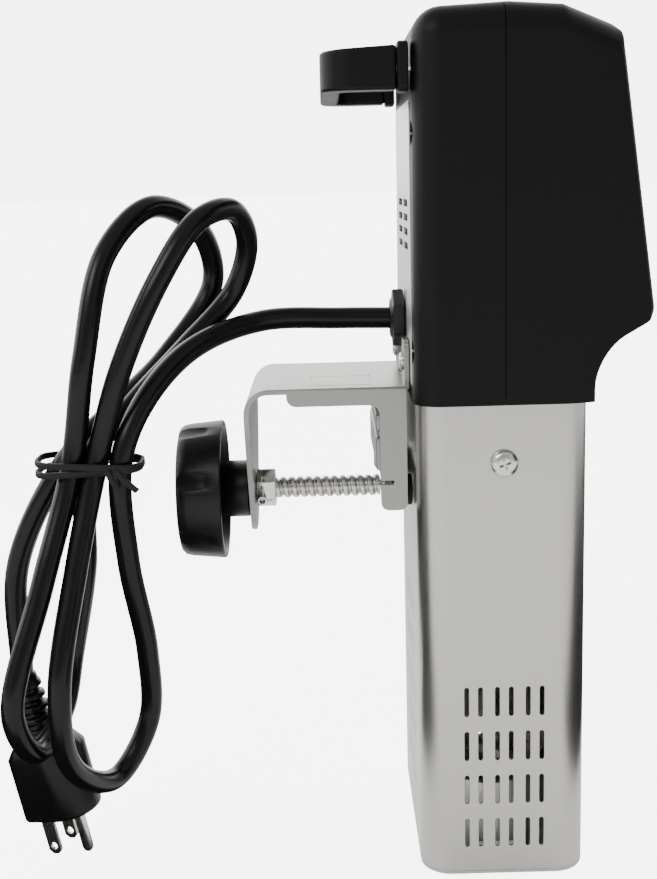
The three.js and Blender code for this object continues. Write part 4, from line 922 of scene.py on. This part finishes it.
bumper_rubber = moulded("bumper_rubber", 3 * (0.006,), (0.013, 0.013, 0.012), 0.65, 700.0, 0.10, 0.3)
for end, across in (("near", -bumper_y), ("far", bumper_y)):
    bumper = turned(f"bumper_{end}", [(0, 6.1), (0.5, 6.7), (1.7, 6.7), (2.2, 6.1)], 48)
    carve(bumper, rod("bumper_stem", "z", 1.7, -2.9, 0.5, (0, 0)), "UNION")
    shade(35)
    moved(bumper, (jaw_right + 0.3, across, bumper_z), 90)
    fitted(bumper, bumper_rubber, [f"clamp_bumper_{end}"])

# ---- Clamp nut -------------------------------------------------------
# A turned six-sided nut pressed against the leg, slit so that it grips the thread, with a rolled
# spring pin through one of its flats.
nut_left, nut_thick, nut_flats = clamp_left + sheet + 0.3, 8.4, 15
nut = rod("nut", "x", nut_flats / math.sqrt(3), nut_left, nut_left + nut_thick, (0, 0), 6)
moved(nut, degrees=30, axis="X")
soften(nut, 0.5, 2, 30)
bore(nut, "x", thread_clear, nut_left - 5, nut_left + 20, (0, 0), 48)
carve(nut, block("nut_slit", (nut_left + 2.1, -12, -11), (nut_left + 2.7, -4.9, 11)))
pin_line = (nut_left + 2.4, -4)
pin = rod("spring_pin", "y", 2.1, -9.2, -5.6, pin_line)
bore(pin, "y", 1.3, -12, -5, pin_line)
carve(nut, soften(pin, 0.2, 2, 40), "UNION")
shade(35)
screw_line = (0, 0, clamp_screw_z)
moved(nut, screw_line)
fitted(nut, screw_plating, ["clamp_nut"])

# ---- Clamp screw -----------------------------------------------------
# A rod with a coarse rolled thread of 3.8 mm pitch: turned by the knob it screws through the nut
# and drives the pad against the pot.
thread_pitch, thread_radius, thread_core = 3.8, 4.75, 3.85
screw_back, thread_from, thread_to, screw_tip = -129.5, -108, -48, -44
half_thread, cuts_a_turn = (thread_to - thread_from) / 2, 14
spindle = rod("spindle", "z", thread_radius, -half_thread, half_thread, (0, 0), 40)
edit(spindle)
for cut in range(1, round(2 * half_thread / thread_pitch * cuts_a_turn)):
    cut_across((0, 0, cut * thread_pitch / cuts_a_turn - half_thread))
done()
# Every point of the rod's side moves in or out with its place on the helix.
for corner in spindle.data.vertices:
    place = corner.co
    phase = (place.z / thread_pitch - math.atan2(place.y, place.x) / (2 * math.pi)) % 1
    crest = min(1, 0.85 + 0.85 * math.cos(2 * math.pi * phase))
    radius = thread_core + (thread_radius - thread_core) * crest
    corner.co = Vector((*(place.xy.normalized() * radius), place.z))
moved(spindle, ((thread_from + thread_to) / 2, 0, 0), 90)
carve(spindle, rod("screw_tail", "x", 3.9, screw_back, thread_from + 1, (0, 0), 40), "UNION")
carve(spindle, rod("screw_neck", "x", 2.4, thread_to - 1, screw_tip, (0, 0), 40), "UNION")
shade(32)
moved(spindle, screw_line)
thread_steel = brushed("thread_steel", (0.66, 0.65, 0.61), 0.27, (900, 900, 900), 0.06, 0.05)
fitted(spindle, thread_steel, ["clamp_screw"], "screw")

pad_thick = 5.4
pad = turned("pad", [(-pad_thick, 5.4), (-4.6, 6.4), (-3.4, 9), (-0.9, 9), (-0.2, 8.4), (0, 7.6),
                     (-0.3, 6.4), (-0.5, 0.3)], 56)
shade(35)
moved(pad, degrees=-90)
bore(pad, "x", 2.7, 2.2, 9, (0, 0))
moved(pad, (jaw_right - 3 - pad_thick, 0, clamp_screw_z))
fitted(pad, screw_plating, ["pressure_pad"], "pad")

# ---- Clamp knob ------------------------------------------------------
# A moulded cup with a hub that presses on the screw's plain end. Its rim is scooped for the
# fingers, and a small cap closes the hole in its face.
knob_left, knob_rim, knob_hub = -137.2, -117.5, 12.7
hub_end = clamp_left - 0.6
knob = turned("knob", [
    (knob_left + 1.1, 4), (knob_left + 0.5, 14), (knob_left, 25.4), (knob_left + 0.5, 27.6),
    (knob_left + 2.0, 29.0), (knob_left + 5, 29.7), (knob_rim - 0.5, 31), (knob_rim, 30.6),
    (knob_rim, 28.4), (knob_rim - 0.6, 28),
    (knob_left + 7, 26.4), (knob_left + 5.4, 24.5), (knob_left + 5, 13.4), (knob_left + 6, knob_hub - 0.6),
    (knob_rim + 1.2, knob_hub - 0.6), (knob_rim + 2.2, knob_hub), (hub_end - 0.6, knob_hub), (hub_end, 12.1),
    (hub_end, 5.05), (knob_left + 7, 5.05)], 96)
moved(knob, degrees=90)
grip_count = 7
for grip in range(grip_count):
    scoop = rod("grip_scoop", "z", 9.5, -15, 12, (0, 0), 40)
    soften(scoop, 5, 5, 40)
    turn = math.radians(20) + grip * 2 * math.pi / grip_count
    carve(knob, placed(scoop, Matrix.Rotation(turn, 4, "X") @ Matrix.Translation((knob_left + 4, 0, 37.9))
                       @ Matrix.Rotation(math.radians(82), 4, "Y")))
shade(28)
moved(knob, screw_line)
knob_plastic = moulded("knob_plastic", 3 * (0.003,), 3 * (0.006,), 0.36, 1100.0, 0.08, 0.28)
fitted(knob, knob_plastic, ["clamp_knob"], "screw")
cap = turned("knob_plug", [(-3, 3.4), (0.3, 3.6), (0.8, 3.2), (0.95, 2.2), (1.0, 0.2)], 40)
shade(35)
moved(cap, (knob_left + 1.6, 0, clamp_screw_z), -90)
fitted(cap, knob_plastic, ["knob_cap"], "screw")

# ---- Cable gland -----------------------------------------------------
# A black nylon compression gland: a hexagonal body with a clamping ring round the lead outside
# the rear panel, and a locknut inside.
gland_nylon = moulded("gland_nylon", 3 * (0.004,), 3 * (0.008,), 0.40, 800.0, 0.08, 0.35)
gland_flats, gland_out = 22, -41.4
gland = rod("gland", "x", gland_flats / math.sqrt(3), gland_out, head_rear - 0.3, (0, 0), 6)
moved(gland, degrees=30, axis="X")
soften(gland, 0.9, 3, 30)
gland_ring = turned("gland_ring", [(0, 7.6), (0.3, 8.3), (1.4, 9.3), (2.4, 9.6)], 48)
carve(gland, moved(gland_ring, (gland_out - 1, 0, 0), 90), "UNION")
carve(gland, rod("gland_stem", "x", 8, head_rear - 1, -26, (0, 0), 48), "UNION")
bore(gland, "x", 5.1, -60, 0, (0, 0), 48)
shade(35)
moved(gland, (0, 0, gland_z))
fitted(gland, gland_nylon, ["gland_body"])

# ---- Works inside ----------------------------------------------------
# The chassis, motor, heater, probes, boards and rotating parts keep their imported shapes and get
# finishes of their own, since they show only through the slots and vents.
works_steel = brushed("works_steel", (0.58, 0.58, 0.56), 0.36, (900, 900, 60), 0.05, 0.05)
heater_steel = brushed("heater_steel", (0.55, 0.53, 0.49), 0.30, (700, 700, 700), 0.09, 0.06)
board_green = moulded("board_green", (0.010, 0.075, 0.035), (0.018, 0.11, 0.05), 0.45, 300.0, 0.10)
motor_paint = moulded("motor_paint", (0.035, 0.038, 0.042), (0.055, 0.060, 0.065), 0.5, 600.0, 0.10)
WORKS = (
    (works_steel, ("chassis_plate", "motor_stand", "shaft_column")), (heater_steel, ("heater_coil",)),
    (screw_plating, ("rotor_shaft", "temperature_probe", "level_probe_low", "level_probe_high")),
    (board_green, ("control_board", "power_board")), (motor_paint, ("motor",)),
    (grey_cap, ("cooling_fan", "impeller")), (white_cap, ("shaft_bush",)),
    (gland_nylon, ("gland_locknut",)), (bumper_rubber, ("chassis_gasket",)),
)
for finish, nodes in WORKS:
    for node in nodes:
        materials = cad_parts[node].data.materials
        materials.clear()
        materials.append(finish)

# ---- Bounds ----------------------------------------------------------
# The box round every shown piece of the finished model is measured, with the floor and the mats left out.
low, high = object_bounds()
